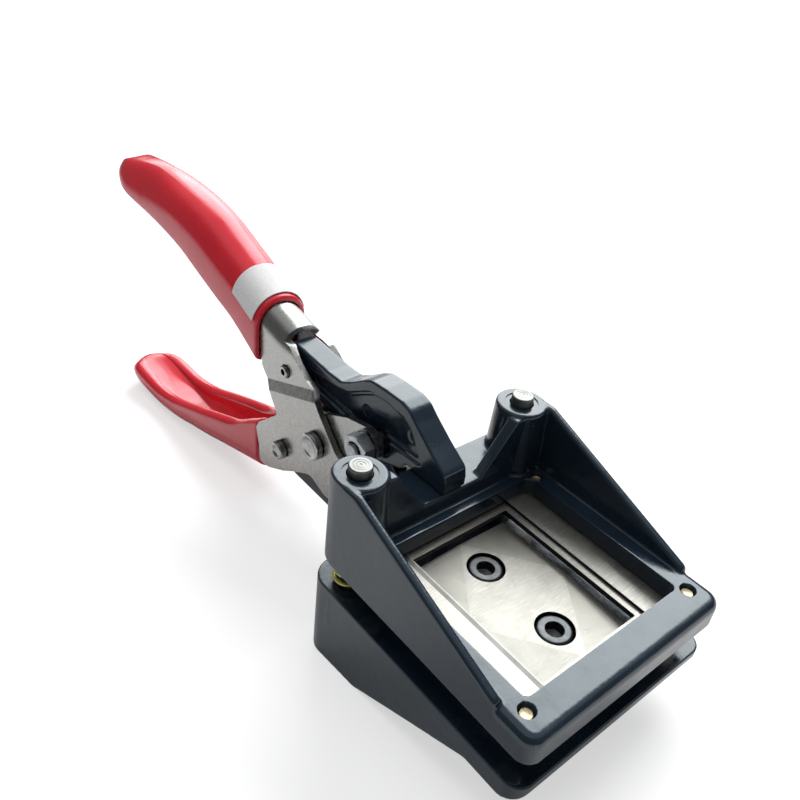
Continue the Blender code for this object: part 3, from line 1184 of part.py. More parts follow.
def make_pins():
    headed_pin(
        "main_pivot_pin", MAIN_PIN_RADIUS, MAIN_HEAD_RADIUS, MAIN_HEAD_PROUD, CHEEK_OUTER_HALF,
        MAIN_Y, MAIN_Z, BRIGHT, PIN_STEPS,
    )
    headed_pin(
        "stop_rivet", STOP_RADIUS, STOP_HEAD_RADIUS, STOP_HEAD_PROUD, CHEEK_OUTER_HALF,
        STOP_Y, STOP_Z, BRIGHT, PIN_STEPS,
    )
    headed_pin(
        "frame_rivet", STOP_RADIUS, STOP_HEAD_RADIUS, ROLL_PIN_PROUD, CHEEK_OUTER_HALF,
        FRAME_RIVET_Y, FRAME_RIVET_Z, BRIGHT, PIN_STEPS,
    )
    end = UPPER_OUTER_HALF + ROLL_PIN_PROUD
    inner = ROLL_PIN_RADIUS - POST_CHAMFER / 2
    pin = cylinder("arm_roll_pin", ROLL_PIN_RADIUS, -end, end, 'X', (0, ROLL_Y, ROLL_Z), PIN_STEPS)
    bevel(pin, POST_CHAMFER / 2, 1, 60.0)
    bore = cylinder("roll_pin_bore", ROLL_PIN_BORE, -end - OVERRUN, end + OVERRUN, 'X', (0, ROLL_Y, ROLL_Z), PIN_STEPS)
    cut(pin, bore)
    keep(pin, BRIGHT)


def make_link():
    """The bolt that joins the lower handle to the arm, with its nut and washers."""
    centre = (0, BOLT_Y, BOLT_Z)
    corner = HEX_ACROSS / 2 / math.cos(math.pi / 6)
    seat = LOWER_OUTER_HALF + GAP
    for side_name, sign in (("left", -1), ("right", 1)):
        inner = sign * seat
        outer = sign * (seat + WASHER_THICK)
        ring = cylinder(
            "link_washer_" + side_name, WASHER_RADIUS, min(inner, outer), max(inner, outer), 'X', centre, PIN_STEPS,
        )
        cut(ring, cylinder(
            "washer_hole_" + side_name, BOLT_RADIUS + PIN_PLAY, -seat - OVERRUN, seat + OVERRUN, 'X', centre, PIN_STEPS,
        ))
        keep(ring, ZINC, HANDLE_PIVOT)
    face = seat + WASHER_THICK + GAP
    nut = cylinder("link_nut", corner, -face - NUT_THICK, -face, 'X', centre, 6)
    trim(nut, hex_dome("nut_dome", corner, -face - NUT_THICK, -face + OVERRUN, -1, centre))
    cut(nut, cylinder(
        "nut_hole", BOLT_RADIUS + PIN_PLAY, -face - NUT_THICK - OVERRUN, -face + OVERRUN, 'X', centre, PIN_STEPS,
    ))
    keep(nut, ZINC, HANDLE_PIVOT)
    point = -face - NUT_THICK - BOLT_POINT
    bolt = cylinder("link_bolt", BOLT_RADIUS, point, face + BOLT_HEAD_THICK / 2, 'X', centre, PIN_STEPS)
    bevel(bolt, HEAD_CHAMFER, 1, 60.0)
    head = cylinder("bolt_head", corner, face, face + BOLT_HEAD_THICK, 'X', centre, 6)
    trim(head, hex_dome("head_dome", corner, face - OVERRUN, face + BOLT_HEAD_THICK, 1, centre))
    join(bolt, head)
    keep(bolt, ZINC, HANDLE_PIVOT)


def hex_dome(name, corner, low, high, sign, centre):
    """The turned shape that gives a hexagon its bevelled corners on one face."""
    wide = corner + OVERRUN
    face = high if sign > 0 else low
    other = low if sign > 0 else high
    slope = HEAD_CHAMFER
    rim = HEX_ACROSS / 2
    ends = [(0, face), (rim * 0.97, face), (corner, face - sign * slope), (wide, face - sign * slope)]
    ends += [(wide, other), (0, other)]
    if sign < 0:
        ends = list(reversed(ends))
    return turned(name, ends, 'X', centre, PIN_STEPS)


# Label: a strip of paper over the upper grip, left plain
def label_arch(mid_half, crown, bend, reach):
    """Points over the crest, from the label's right edge to its left one."""
    radius = bend + reach
    side = mid_half - bend
    first = math.radians(LABEL_EDGE_ANGLE)
    right = []
    for step in range(BEND_STEPS + 1):
        angle = first + (math.pi / 2 - first) * step / BEND_STEPS
        right.append((side + radius * math.cos(angle), crown - bend + radius * math.sin(angle)))
    return right + [(-x, z) for x, z in reversed(right)]


def make_label():
    rings = []
    for step in range(LIP_STEPS + 1):
        along = LABEL_START + LABEL_LENGTH * step / LIP_STEPS
        share = along / UPPER_GRIP_LENGTH
        crown, foot, mid_half = upper_line(share)
        bend = bend_radius(mid_half, crown, foot)
        inner = label_arch(mid_half, crown, bend, GRIP_HALF + GAP)
        outer = label_arch(mid_half, crown, bend, GRIP_HALF + GAP + LABEL_THICK)
        ring = outer + list(reversed(inner))
        rings.append([Vector((x, GRIP_Y + along, z)) for x, z in ring])
    keep(loft("size_label", rings), PAPER)


make_lower_frame()
make_upper_frame()
make_die()
make_die_screws()
make_punch()
make_punch_screws()
make_posts()
make_springs()
make_upper_channel()
make_grip("upper_grip", upper_line, UPPER_GRIP_LENGTH, 1, TILT)
make_label()
make_lower_channel()
make_grip("lower_grip", lower_line, LOWER_GRIP_LENGTH, -1, HANDLE_PIVOT)
make_arm()
make_pins()
make_link()
bpy.context.view_layer.update()
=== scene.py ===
"""Hand-held die cutter for small photographs, dressed for rendering.

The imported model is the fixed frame. Each piece here is the finer form of one
node, built in the tool frame from the same sizes and set in its place: +X is
to the right, +Y runs back to the grips, Z = 0 is the deck of the upper frame
and X = Y = 0 is over the middle of the punch.
"""
import contextlib
import json
import math

import bmesh
import bpy
from mathutils import Matrix, Vector

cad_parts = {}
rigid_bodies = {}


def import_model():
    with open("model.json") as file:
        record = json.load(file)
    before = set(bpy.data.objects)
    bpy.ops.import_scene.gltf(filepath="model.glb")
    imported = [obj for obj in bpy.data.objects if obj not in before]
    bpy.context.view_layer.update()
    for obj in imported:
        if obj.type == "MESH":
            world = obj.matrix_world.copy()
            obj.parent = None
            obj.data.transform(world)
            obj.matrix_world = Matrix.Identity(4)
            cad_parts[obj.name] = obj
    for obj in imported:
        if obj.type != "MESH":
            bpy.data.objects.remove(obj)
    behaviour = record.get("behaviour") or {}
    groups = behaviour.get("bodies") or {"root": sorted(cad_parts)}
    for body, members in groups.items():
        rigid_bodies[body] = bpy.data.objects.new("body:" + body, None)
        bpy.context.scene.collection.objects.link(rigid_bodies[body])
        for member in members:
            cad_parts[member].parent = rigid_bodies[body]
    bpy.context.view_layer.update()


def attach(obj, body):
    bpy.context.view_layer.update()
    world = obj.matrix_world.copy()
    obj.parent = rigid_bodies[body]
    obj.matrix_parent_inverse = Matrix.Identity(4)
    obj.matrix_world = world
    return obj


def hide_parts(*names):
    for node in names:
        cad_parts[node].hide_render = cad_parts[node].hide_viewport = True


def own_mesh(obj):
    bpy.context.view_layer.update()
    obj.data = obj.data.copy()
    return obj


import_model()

UPPER_HANDLE = "upper_handle"
LOWER_HANDLE = "lower_handle"
PRESS_ARM = "press_arm"
UPPER_FRAME = "upper_frame"

# Castings and sheet, as fine as they are rendered
CASTING_VOXEL = 0.00030
CASTING_PASSES = 5
FINE_STATIONS = 72
RIM_SEGMENTS = 4

# Clearances and overruns
GAP = 0.0003
OVERRUN = 0.004
WELD = 0.000001

# Cut size, punch and die
PHOTO_WIDTH = 0.030
PHOTO_LENGTH = 0.040
LAND_WIDTH = 0.002
LAND_STEP = 0.0011
DIE_THICK = 0.0025
PUNCH_BELOW_DIE = 0.0017
PUNCH_SHEAR = 0.0006
PUNCH_EDGE_SHARE = 0.94
STROKE = 0.005

# Upper frame
WINDOW_SIDE = 0.0093
WINDOW_FRONT = 0.0027
WINDOW_REAR = 0.0018
WINDOW_ROUND = 0.0016
WINDOW_REAR_ROUND = 0.0025
DECK_THICK = 0.0045
FRAME_SIDE = 0.0067
FRAME_FRONT = 0.0083
FRAME_REAR = 0.0156
FRONT_ROUND = 0.0036
REAR_ROUND = 0.0074
DECK_EDGE_ROUND = 0.0020
DIE_BED_SIDE = 0.0041
DIE_BED_FRONT = 0.0049
DIE_BED_REAR = 0.0024
WALL_THICK = 0.0023
WALL_EDGE_ROUND = 0.0008
BOSS_HEIGHT = 0.018
BOSS_TOP_RADIUS = 0.0064
BOSS_FOOT_RADIUS = 0.0072
BOSS_EDGE_ROUND = 0.0007
WALL_FRONT_SHARE = 0.845
WALL_FOOT_RISE = 0.0011
REAR_DECK_RISE = 0.0043
BULKHEAD_AHEAD = 0.0051
BULKHEAD_THICK = 0.0030
NOTCH_HALF = 0.0090
NOTCH_TOP_HALF = 0.0185
SEAT_RING_WIDTH = 0.0011
SEAT_RING_DEPTH = 0.00025

# Guide posts and return springs
POST_RADIUS = 0.00275
POST_INSET = 0.00595
POST_BEHIND_WINDOW = 0.0081
POST_PROUD = 0.0021
POST_ROOT = 0.0118
POST_CHAMFER = 0.0004
SPRING_WIRE = 0.0011
SPRING_MEAN_RADIUS = 0.00365
SPRING_BORE_DEPTH = 0.0162
SPRING_PITCH = 0.0026

# Screws
DIE_SCREW_SIDE = 0.0017
DIE_SCREW_FRONT = 0.0019
DIE_SCREW_REAR = 0.0009
DIE_SCREW_RADIUS = 0.0015
DIE_SCREW_SINK = 0.0010
DIE_HEAD_RADIUS = 0.00275
DIE_HEAD_HEIGHT = 0.0017
DIE_DRIVE_WIDTH = 0.0009
DIE_DRIVE_DEPTH = 0.0009
PUNCH_SCREW_SPACING = 0.02168
PUNCH_HEAD_RADIUS = 0.0042
PUNCH_HEAD_HEIGHT = 0.0039
PUNCH_HEAD_SINK = 0.0003
PUNCH_COUNTERBORE_RADIUS = 0.00465
PUNCH_SHANK_RADIUS = 0.0025
PUNCH_HEX_ACROSS = 0.0040
PUNCH_HEX_DEPTH = 0.0024
HEAD_CHAMFER = 0.0004

# Lower frame
THROAT = 0.0082
LOWER_REAR_EXTRA = 0.0012
LOWER_PLATE_THICK = 0.0050
SKIRT_THICK = 0.0040
SKIRT_DEPTH = 0.0244
HOLLOW_FRONT_SHARE = 0.24
LOWER_EDGE_ROUND = 0.0009
POST_BOSS_RADIUS = 0.0060
LOWER_FRONT_ROUND = 0.0040
LOWER_REAR_ROUND = 0.0060

# Pins, measured from the main pin
MAIN_PIN_BEHIND_POSTS = 0.0391
MAIN_PIN_DROP = 0.0077
ROLL_PIN_BACK = 0.0173
ROLL_PIN_RISE = 0.0134
STOP_BACK = 0.0159
STOP_DROP = 0.0120
BOLT_AHEAD = 0.0197
BOLT_RISE = 0.0122
FRAME_RIVET_SHARE = 0.72
FRAME_RIVET_DROP = 0.0063

# Sheet steel and the arm
SHEET = 0.0017
FLANGE_INNER_HALF = 0.0046
ARM_HALF = 0.0036
ARM_RISE = 0.0150
ARM_ROUND = 0.0040
ARM_EDGE_ROUND = 0.0009
ARM_POCKET = 0.0016
SPACER_THICK = 0.0009
SPACER_RADIUS = 0.0036
CHEEK_ROUND = 0.0030
CHEEK_AHEAD = 0.0240
JOGGLE_RUN = 0.0028
TAIL_ROUND = 0.0040

# Pins and the link bolt
MAIN_PIN_RADIUS = 0.0030
MAIN_HEAD_RADIUS = 0.0040
MAIN_HEAD_PROUD = 0.0022
STOP_RADIUS = 0.0022
STOP_HEAD_RADIUS = 0.0028
STOP_HEAD_PROUD = 0.00225
CUP_DEPTH = 0.0007
ROLL_PIN_RADIUS = 0.00175
ROLL_PIN_BORE = 0.00095
ROLL_PIN_PROUD = 0.0010
BOLT_RADIUS = 0.0024
BOLT_SLOT_PLAY = 0.0005
HEX_ACROSS = 0.0080
NUT_THICK = 0.0034
BOLT_HEAD_THICK = 0.0034
BOLT_POINT = 0.0009
WASHER_THICK = 0.0008
WASHER_RADIUS = 0.0045
PIN_PLAY = 0.0003

# Grips
VINYL_SKIN = 0.0013
GRIP_BEHIND_MAIN_PIN = 0.0306
UPPER_GRIP_LENGTH = 0.0920
UPPER_GRIP_RISE = 0.036
LOWER_GRIP_LENGTH = 0.0929
LOWER_GRIP_DROP = 0.048
GRIP_FRONT_ROUND = 0.0004
LABEL_THICK = 0.00025
LABEL_START = 0.0014
LABEL_LENGTH = 0.0103
LABEL_EDGE_ANGLE = 12.0

# Counts
ROUND_STEPS = 96
PIN_STEPS = 64
SMALL_STEPS = 48
CORNER_STEPS = 7
BEND_STEPS = 14
LIP_STEPS = 12
POINTS_A_CURL = 28

# Outlines, as shares of the sizes that they follow (see each use)
SKIRT_PROFILE_SHARES = (
    (0.0, 0.0, 0.0), (0.0, -0.131, 0.6), (0.065, -0.217, 0.6), (0.204, -0.225, 0.6),
    (0.437, -0.537, 1.0), (0.710, -0.926, 0.6), (0.966, -1.0, 0.6), (0.990, -0.893, 0.5),
    (1.0, -0.041, 0.0), (1.0, 0.0, 0.0),
)
TAIL_OUTLINE_SHARES = (
    (1.006, -1.908, 1.0), (1.220, -1.650, 0.8), (1.233, -1.192, 1.0), (1.069, -0.442, 1.0),
    (0.818, 0.090, 1.0), (0.503, 0.396, 1.0), (0.0, 0.493, 1.0), (-0.263, 0.381, 1.0),
    (-0.461, 0.172, 1.0), (-0.691, -0.142, 1.0), (-0.921, -0.542, 1.0),
)
CHEEK_OUTLINE_SHARES = (
    (1.150, 1.590, 0.0), (0.983, 1.575, 1.2), (0.809, 1.470, 1.6), (0.607, 1.306, 1.2),
    (0.428, 1.175, 1.2), (0.250, 1.110, 1.0), (0.100, 1.010, 1.2), (-0.021, 0.813, 1.0),
    (-0.371, 0.201, 1.0), (-0.479, 0.142, 0.6),
    (-0.854, 0.052, 1.0), (-1.0, -0.483, 1.4), (-0.854, -1.108, 1.2), (-0.208, -1.175, 1.2),
    (0.104, -0.975, 1.6), (0.555, -1.350, 1.0), (0.873, -1.650, 1.0), (1.312, -1.975, 1.0),
    (1.607, -2.075, 0.6), (1.642, -1.592, 1.0), (1.740, -1.100, 0.4), (1.647, -0.858, 0.6),
    (1.075, -0.133, 0.9), (1.220, 0.082, 1.0), (1.347, 0.313, 1.0), (1.532, 0.440, 0.6),
    (1.728, 0.687, 0.3),
)
JOGGLE_LINE_SHARES = ((1.532, 0.440), (0.318, 1.060))
FLANGE_TOP_SHARES = (
    (-1.208, 0.844, 0.9), (-1.168, 1.172, 0.9), (-1.046, 1.336, 0.9), (-0.888, 1.352, 1.0),
    (-0.513, 1.197, 1.0), (0.0, 0.787, 1.0), (0.377, 0.508, 1.0), (0.943, -0.192, 1.0),
    (1.447, -0.650, 1.0), (1.881, -1.058, 0.3),
)
FLANGE_FOOT_SHARES = (
    (1.943, -2.108, 0.0), (1.447, -1.917, 0.5), (0.950, -1.583, 1.0), (0.604, -1.283, 1.0),
    (0.113, -0.875, 1.0), (-0.254, -0.525, 1.0), (-0.660, 0.303, 1.0), (-0.888, 0.664, 0.9),
    (-1.117, 0.631, 0.9),
)
ARM_OUTLINE_SHARES = (
    (0.0, 0.127, 0.4), (0.010, 0.300, 0.5), (0.109, 0.553, 1.0), (0.198, 0.807, 1.0),
    (0.239, 0.947, 1.0), (0.286, 1.0, 1.0), (0.390, 0.987, 1.0), (0.475, 0.953, 1.0),
    (0.524, 0.853, 1.0), (0.608, 0.613, 1.0), (0.670, 0.473, 1.0), (0.767, 0.460, 1.0),
    (0.898, 0.490, 1.0), (1.020, 0.520, 1.0), (1.068, 0.390, 0.6), (1.078, 0.087, 0.6),
    (1.067, -0.180, 0.6), (1.020, -0.313, 0.6), (0.898, -0.300, 1.0), (0.735, -0.280, 1.0),
    (0.572, -0.347, 1.0), (0.483, -0.460, 1.0), (0.410, -0.500, 1.0), (0.358, -0.433, 0.7),
    (0.250, -0.250, 0.6),
)
ARM_TOE_SHARE = 0.220
ARM_POCKET_SHARES = (
    (0.128, 0.107, 0.3), (0.224, 0.633, 0.7), (0.273, 0.747, 0.7), (0.369, 0.800, 0.7),
    (0.475, 0.747, 0.7), (0.540, 0.593, 0.7), (0.621, 0.380, 0.7), (0.683, 0.307, 0.7),
    (0.881, 0.240, 0.4), (0.889, -0.100, 0.4), (0.735, -0.113, 0.5), (0.572, -0.160, 0.5),
    (0.490, -0.300, 0.5), (0.410, -0.330, 0.5), (0.370, -0.240, 0.3), (0.361, 0.053, 0.3),
)
UPPER_CREST_SHARES = (
    (-0.114, 0.505), (0.0, 0.566), (0.06, 0.624), (0.15, 0.718), (0.25, 0.804), (0.35, 0.890),
    (0.46, 0.948), (0.58, 0.978), (0.70, 0.978), (0.80, 0.950), (0.88, 0.917), (0.94, 0.889), (1.0, 0.852),
)
UPPER_RIM_SHARES = (
    (0.0, 0.042), (0.06, 0.124), (0.15, 0.235), (0.25, 0.315), (0.35, 0.400), (0.46, 0.495),
    (0.58, 0.570), (0.70, 0.632), (0.80, 0.670), (0.88, 0.700), (0.94, 0.715), (1.0, 0.720),
)
LOWER_FLOOR_SHARES = (
    (-0.09, -0.600), (0.0, -0.659), (0.06, -0.690), (0.15, -0.738), (0.25, -0.795), (0.35, -0.855),
    (0.46, -0.913), (0.58, -0.957), (0.72, -0.982), (0.86, -0.996), (1.0, -1.0),
)
LOWER_RIM_SHARES = (
    (0.0, -0.238), (0.06, -0.312), (0.15, -0.424), (0.25, -0.502), (0.35, -0.578), (0.46, -0.662),
    (0.58, -0.750), (0.72, -0.811), (0.86, -0.813), (1.0, -0.800),
)
UPPER_WIDTH_SHARES = ((-1.0, 1.0), (0.0, 1.0), (0.25, 1.05), (0.60, 1.12), (0.85, 1.12), (1.0, 1.06))
LOWER_WIDTH_SHARES = (
    (-1.0, 1.0), (-0.09, 1.0), (0.0, 1.0), (0.15, 1.16), (0.35, 1.29), (0.50, 1.31),
    (0.70, 1.31), (0.85, 1.30), (1.0, 1.26),
)
STEEL_END_SHARE = 0.90
SHEET_BEND_SHARE = 0.92
TIP_START_SHARE = 0.925
GRIP_STATION_SHARES = (0.0, 0.04, 0.10, 0.17, 0.25, 0.33, 0.42, 0.51, 0.60, 0.68, 0.76, 0.83, 0.88, 0.925)


def read_line(table, share):
    """A smooth line through a table of shares."""
    keys = [entry[0] for entry in table]
    values = [entry[1] for entry in table]
    if share <= keys[0]:
        return values[0]
    if share >= keys[-1]:
        return values[-1]
    index = max(i for i in range(len(keys) - 1) if keys[i] <= share)

    def slope(at):
        low = max(at - 1, 0)
        high = min(at + 1, len(keys) - 1)
        return (values[high] - values[low]) / (keys[high] - keys[low])

    span = keys[index + 1] - keys[index]
    t = (share - keys[index]) / span
    first = (2 * t ** 3 - 3 * t ** 2 + 1) * values[index]
    second = (t ** 3 - 2 * t ** 2 + t) * span * slope(index)
    third = (-2 * t ** 3 + 3 * t ** 2) * values[index + 1]
    fourth = (t ** 3 - t ** 2) * span * slope(index + 1)
    return first + second + third + fourth


# Places worked out from the named sizes
TOP_Z = 0.0
PHOTO_HALF_X = PHOTO_WIDTH / 2
PHOTO_HALF_Y = PHOTO_LENGTH / 2
WINDOW_X = PHOTO_HALF_X + WINDOW_SIDE
WINDOW_FRONT_Y = -PHOTO_HALF_Y - WINDOW_FRONT
WINDOW_REAR_Y = PHOTO_HALF_Y + WINDOW_REAR
FRAME_X = WINDOW_X + FRAME_SIDE
FRAME_FRONT_Y = WINDOW_FRONT_Y - FRAME_FRONT
FRAME_REAR_Y = WINDOW_REAR_Y + FRAME_REAR
BODY_THICK = DECK_THICK + DIE_THICK
DIE_TOP_Z = -DECK_THICK
FRAME_FOOT_Z = -BODY_THICK
PUNCH_TOP_Z = FRAME_FOOT_Z - PUNCH_BELOW_DIE
LOWER_TOP_Z = FRAME_FOOT_Z - THROAT
LOWER_REAR_Y = FRAME_REAR_Y + LOWER_REAR_EXTRA
PLATE_FOOT_Z = LOWER_TOP_Z - LOWER_PLATE_THICK
DIE_X = WINDOW_X + DIE_BED_SIDE
DIE_FRONT_Y = WINDOW_FRONT_Y - DIE_BED_FRONT
DIE_REAR_Y = WINDOW_REAR_Y + DIE_BED_REAR
DIE_SCREW_X = WINDOW_X + DIE_SCREW_SIDE
DIE_SCREW_FRONT_Y = WINDOW_FRONT_Y - DIE_SCREW_FRONT
DIE_SCREW_REAR_Y = WINDOW_REAR_Y - DIE_SCREW_REAR
POST_X = FRAME_X - POST_INSET
POST_Y = WINDOW_REAR_Y + POST_BEHIND_WINDOW
POST_TOP_Z = BOSS_HEIGHT + POST_PROUD
BORE_TOP_Z = FRAME_FOOT_Z + SPRING_BORE_DEPTH
SPRING_OUTER = SPRING_MEAN_RADIUS + SPRING_WIRE / 2
SPRING_BORE_RADIUS = SPRING_OUTER + GAP
BULKHEAD_Y = POST_Y - BULKHEAD_AHEAD
NOTCH_Z = REAR_DECK_RISE
MAIN_Y = POST_Y + MAIN_PIN_BEHIND_POSTS
MAIN_Z = -MAIN_PIN_DROP
ROLL_Y = MAIN_Y + ROLL_PIN_BACK
ROLL_Z = MAIN_Z + ROLL_PIN_RISE
STOP_Y = MAIN_Y + STOP_BACK
STOP_Z = MAIN_Z - STOP_DROP
BOLT_Y = MAIN_Y - BOLT_AHEAD
BOLT_Z = MAIN_Z + BOLT_RISE
FRAME_RIVET_Y = MAIN_Y - CHEEK_AHEAD * FRAME_RIVET_SHARE
FRAME_RIVET_Z = MAIN_Z - FRAME_RIVET_DROP
ARM_TOE_Y = BULKHEAD_Y
ARM_TOE_Z = NOTCH_Z + GAP
ARM_SPAN = ROLL_Y - ARM_TOE_Y
UPPER_INNER_HALF = ARM_HALF + SPACER_THICK + 2 * GAP
UPPER_MID_HALF = UPPER_INNER_HALF + SHEET / 2
UPPER_OUTER_HALF = UPPER_INNER_HALF + SHEET
LOWER_MID_HALF = FLANGE_INNER_HALF + SHEET / 2
LOWER_OUTER_HALF = FLANGE_INNER_HALF + SHEET
CHEEK_INNER_HALF = LOWER_OUTER_HALF + GAP
CHEEK_OUTER_HALF = CHEEK_INNER_HALF + SHEET
JOGGLE = CHEEK_INNER_HALF - UPPER_INNER_HALF
TAIL_HALF = FLANGE_INNER_HALF - 2 * GAP
GRIP_Y = MAIN_Y + GRIP_BEHIND_MAIN_PIN
STEEL_HALF = SHEET / 2
POCKET_HALF = STEEL_HALF + GAP
GRIP_HALF = POCKET_HALF + VINYL_SKIN

# Travel: the arm and the lower handle follow the upper frame's stroke
ARM_TURN = STROKE / ARM_SPAN
HANDLE_TURN = ARM_TURN * (ROLL_Y - BOLT_Y) / BOLT_AHEAD
BOLT_SLIDE = BOLT_RISE * HANDLE_TURN

# Standing on the skirts and on the belly of the lower grip
SKIRT_FOOT_Y = FRAME_FRONT_Y + SKIRT_PROFILE_SHARES[6][0] * (LOWER_REAR_Y - FRAME_FRONT_Y)
SKIRT_FOOT_Z = LOWER_TOP_Z - SKIRT_DEPTH
REST_SLOPE = max(
    (SKIRT_FOOT_Z - MAIN_Z - LOWER_GRIP_DROP * read_line(LOWER_FLOOR_SHARES, share))
    / (GRIP_Y + LOWER_GRIP_LENGTH * share - SKIRT_FOOT_Y)
    for share in GRIP_STATION_SHARES
)
TIP_ANGLE = math.atan(REST_SLOPE)

# Outlines: how sharp a turn is rounded, how far along a side, and what counts as flat
STRAIGHT_ANGLE = math.radians(4.0)
CORNER_REACH_SHARE = 0.48
FLAT_ANGLE = math.radians(0.5)

# Finer detail on the castings, the posts and the sheet
BOSS_FRONT_SHARE = 0.95
SCREW_MOUTH = 0.00012
ARM_VOXEL = 0.00025
ARM_STEP_IN = 0.0011
EJECTOR_SHARES = ((0.512, 0.220), (0.228, 0.433))
EJECTOR_RADIUS = 0.0018
EJECTOR_DEPTH = 0.0002
POST_MARK = 0.00006
POST_MARKS = 6
SHEET_EDGE_ROUND = 0.00022

# Finer detail on the fasteners
THREAD_PITCH = 0.0008
THREAD_DEPTH = 0.00035
THREAD_CREST_SHARES = (0.35, 0.60)
DIE_TIP_RADIUS = 0.00129
DIE_TIP_HOLLOW = 0.0003
DIE_TIP_DROP = 0.00036
PUNCH_LAND_SHARE = 0.78
PUNCH_HEAD_DROP = 0.00064
HEX_LEAD_SHARES = (0.86, 1.16)
HEX_LEAD_DEPTH = 0.00028
HEX_DRILL_SHARE = 0.80
HEX_DRILL_DEPTH = 0.0008
HEX_FACE_SHARE = 0.97
PIN_RIM_ROUND = 0.00056
PIN_CUP_INSET = 0.000896

# Grip tips: where the scoop closes, the crown, and for each grip (upper 1, lower -1) the
# start and power of the rounding on its left and on its right
SCOOP_END_SHARES = {"upper_grip": (0.80, 0.925), "lower_grip": (0.55, 1.06)}
BOWL_HASTE = 1.6
TIP_STEPS = 16
CROWN_BOW = 0.0044
CROWN_BOW_LIFT = 0.25
CROWN_BOW_SHARES = (0.45, 0.97)
TIP_ROUNDS = {1: ((0.84, 2.2), (0.66, 2.0)), -1: ((0.88, 2.4), (0.84, 2.2))}
TIP_REACH = {1: 0.026, -1: 0.012}
TIP_REACH_START = 0.80
TIP_THIN = 0.85

# Masks in the looks: the ground edge along the left of the die's opening and the sheet's inward faces, both
# of which take painted shade, the metal beside the punch, and the slants of the grinding
PAINTED_SHADE_STRIP_START = 0.00045
PAINTED_SHADE_STRIP_END = 0.00170
OFF_PUNCH = 9.0
INWARD_REACH = (-0.004, -0.001)
GRINDING_ANGLES = (38, -42)

SIDES = (("left", -1), ("right", 1))
DIE_SCREW_PLACES = tuple(
    (row + "_" + side, sign * DIE_SCREW_X, y)
    for row, y in (("front", DIE_SCREW_FRONT_Y), ("rear", DIE_SCREW_REAR_Y))
    for side, sign in SIDES
)
PUNCH_SCREW_PLACES = (("front", -PUNCH_SCREW_SPACING / 2), ("rear", PUNCH_SCREW_SPACING / 2))

# From the tool frame to the world, in which the tool lies on a table
TOOL = (
    Matrix.Translation((0, PUNCH_TOP_Z * math.sin(TIP_ANGLE), -PUNCH_TOP_Z * math.cos(TIP_ANGLE)))
    @ Matrix.Rotation(TIP_ANGLE, 4, 'X')
)
GUIDES = bpy.data.collections.new("guides")
bpy.context.scene.collection.children.link(GUIDES)


# Objects

def guide(item):
    """Make an object a cutter or a piece that another one takes in."""
    GUIDES.objects.link(item)
    item.hide_render = True
    return item


def clear_guides():
    for item in list(GUIDES.objects):
        bpy.data.objects.remove(item, do_unlink=True)
    bpy.data.collections.remove(GUIDES)


def evaluated(item):
    """An object's mesh with its modifiers applied."""
    bpy.context.scene.collection.objects.link(item)
    bpy.context.view_layer.update()
    graph = bpy.context.evaluated_depsgraph_get()
    mesh = bpy.data.meshes.new_from_object(item.evaluated_get(graph))
    bpy.context.scene.collection.objects.unlink(item)
    return mesh


def settle(item):
    """Apply an object's modifiers."""
    mesh = evaluated(item)
    item.modifiers.clear()
    item.data = mesh
    return item


def cast(item, voxel=CASTING_VOXEL):
    """Soften every edge, as on a casting under enamel."""
    settle(item)
    melt = item.modifiers.new("melt", 'REMESH')
    melt.mode = 'VOXEL'
    melt.voxel_size = voxel
    soften = item.modifiers.new("soften", 'SMOOTH')
    soften.factor = 0.5
    soften.iterations = CASTING_PASSES
    return settle(item)


def keep(item, material, body=UPPER_HANDLE, smooth_angle=35.0):
    """Set a finished piece in the place of the node of its name."""
    settle(item)
    node = item.name.split(".")[0]
    item.name = node + "_piece"
    item.data.transform(TOOL)
    item.data.materials.clear()
    item.data.materials.append(material)
    item.data.shade_smooth()
    item.data.set_sharp_from_angle(angle=math.radians(smooth_angle))
    bpy.context.scene.collection.objects.link(item)
    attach(item, body)
    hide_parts(node)
    return item


# Materials

class Graph:
    """A node tree, with short ways to add to it."""

    def __init__(self, tree):
        self.nodes = tree.nodes
        self.links = tree.links

    def put(self, node, socket, value):
        """Set an input to a constant, or link it to another node's output."""
        if isinstance(value, bpy.types.NodeSocket):
            self.links.new(value, node.inputs[socket])
        else:
            node.inputs[socket].default_value = value

    def add(self, kind, **values):
        """A new node and its inputs; in their names an underline stands for a space."""
        made = self.nodes.new("ShaderNode" + kind)
        for socket, value in values.items():
            self.put(made, socket.replace("_", " "), value)
        return made

    def sums(self, operation, *values, kind="Math"):
        made = self.add(kind)
        made.operation = operation
        for socket, value in enumerate(values):
            self.put(made, socket, value)
        return made.outputs["Value"]

    def stepped(self, source, low, high, first=0.0, last=1.0, way='SMOOTHSTEP'):
        """From first to last as the source goes from low to high."""
        made = self.add("MapRange", Value=source, From_Min=low, From_Max=high, To_Min=first, To_Max=last)
        made.interpolation_type = way
        return made.outputs["Result"]

    def shaders(self, kind, first, second, factor=None):
        """One shader added to another, or the two mixed by a factor."""
        made = self.add(kind)
        inputs = [first.outputs[0], second.outputs[0]]
        for socket, value in enumerate(inputs if factor is None else [factor] + inputs):
            self.put(made, socket, value)
        return made


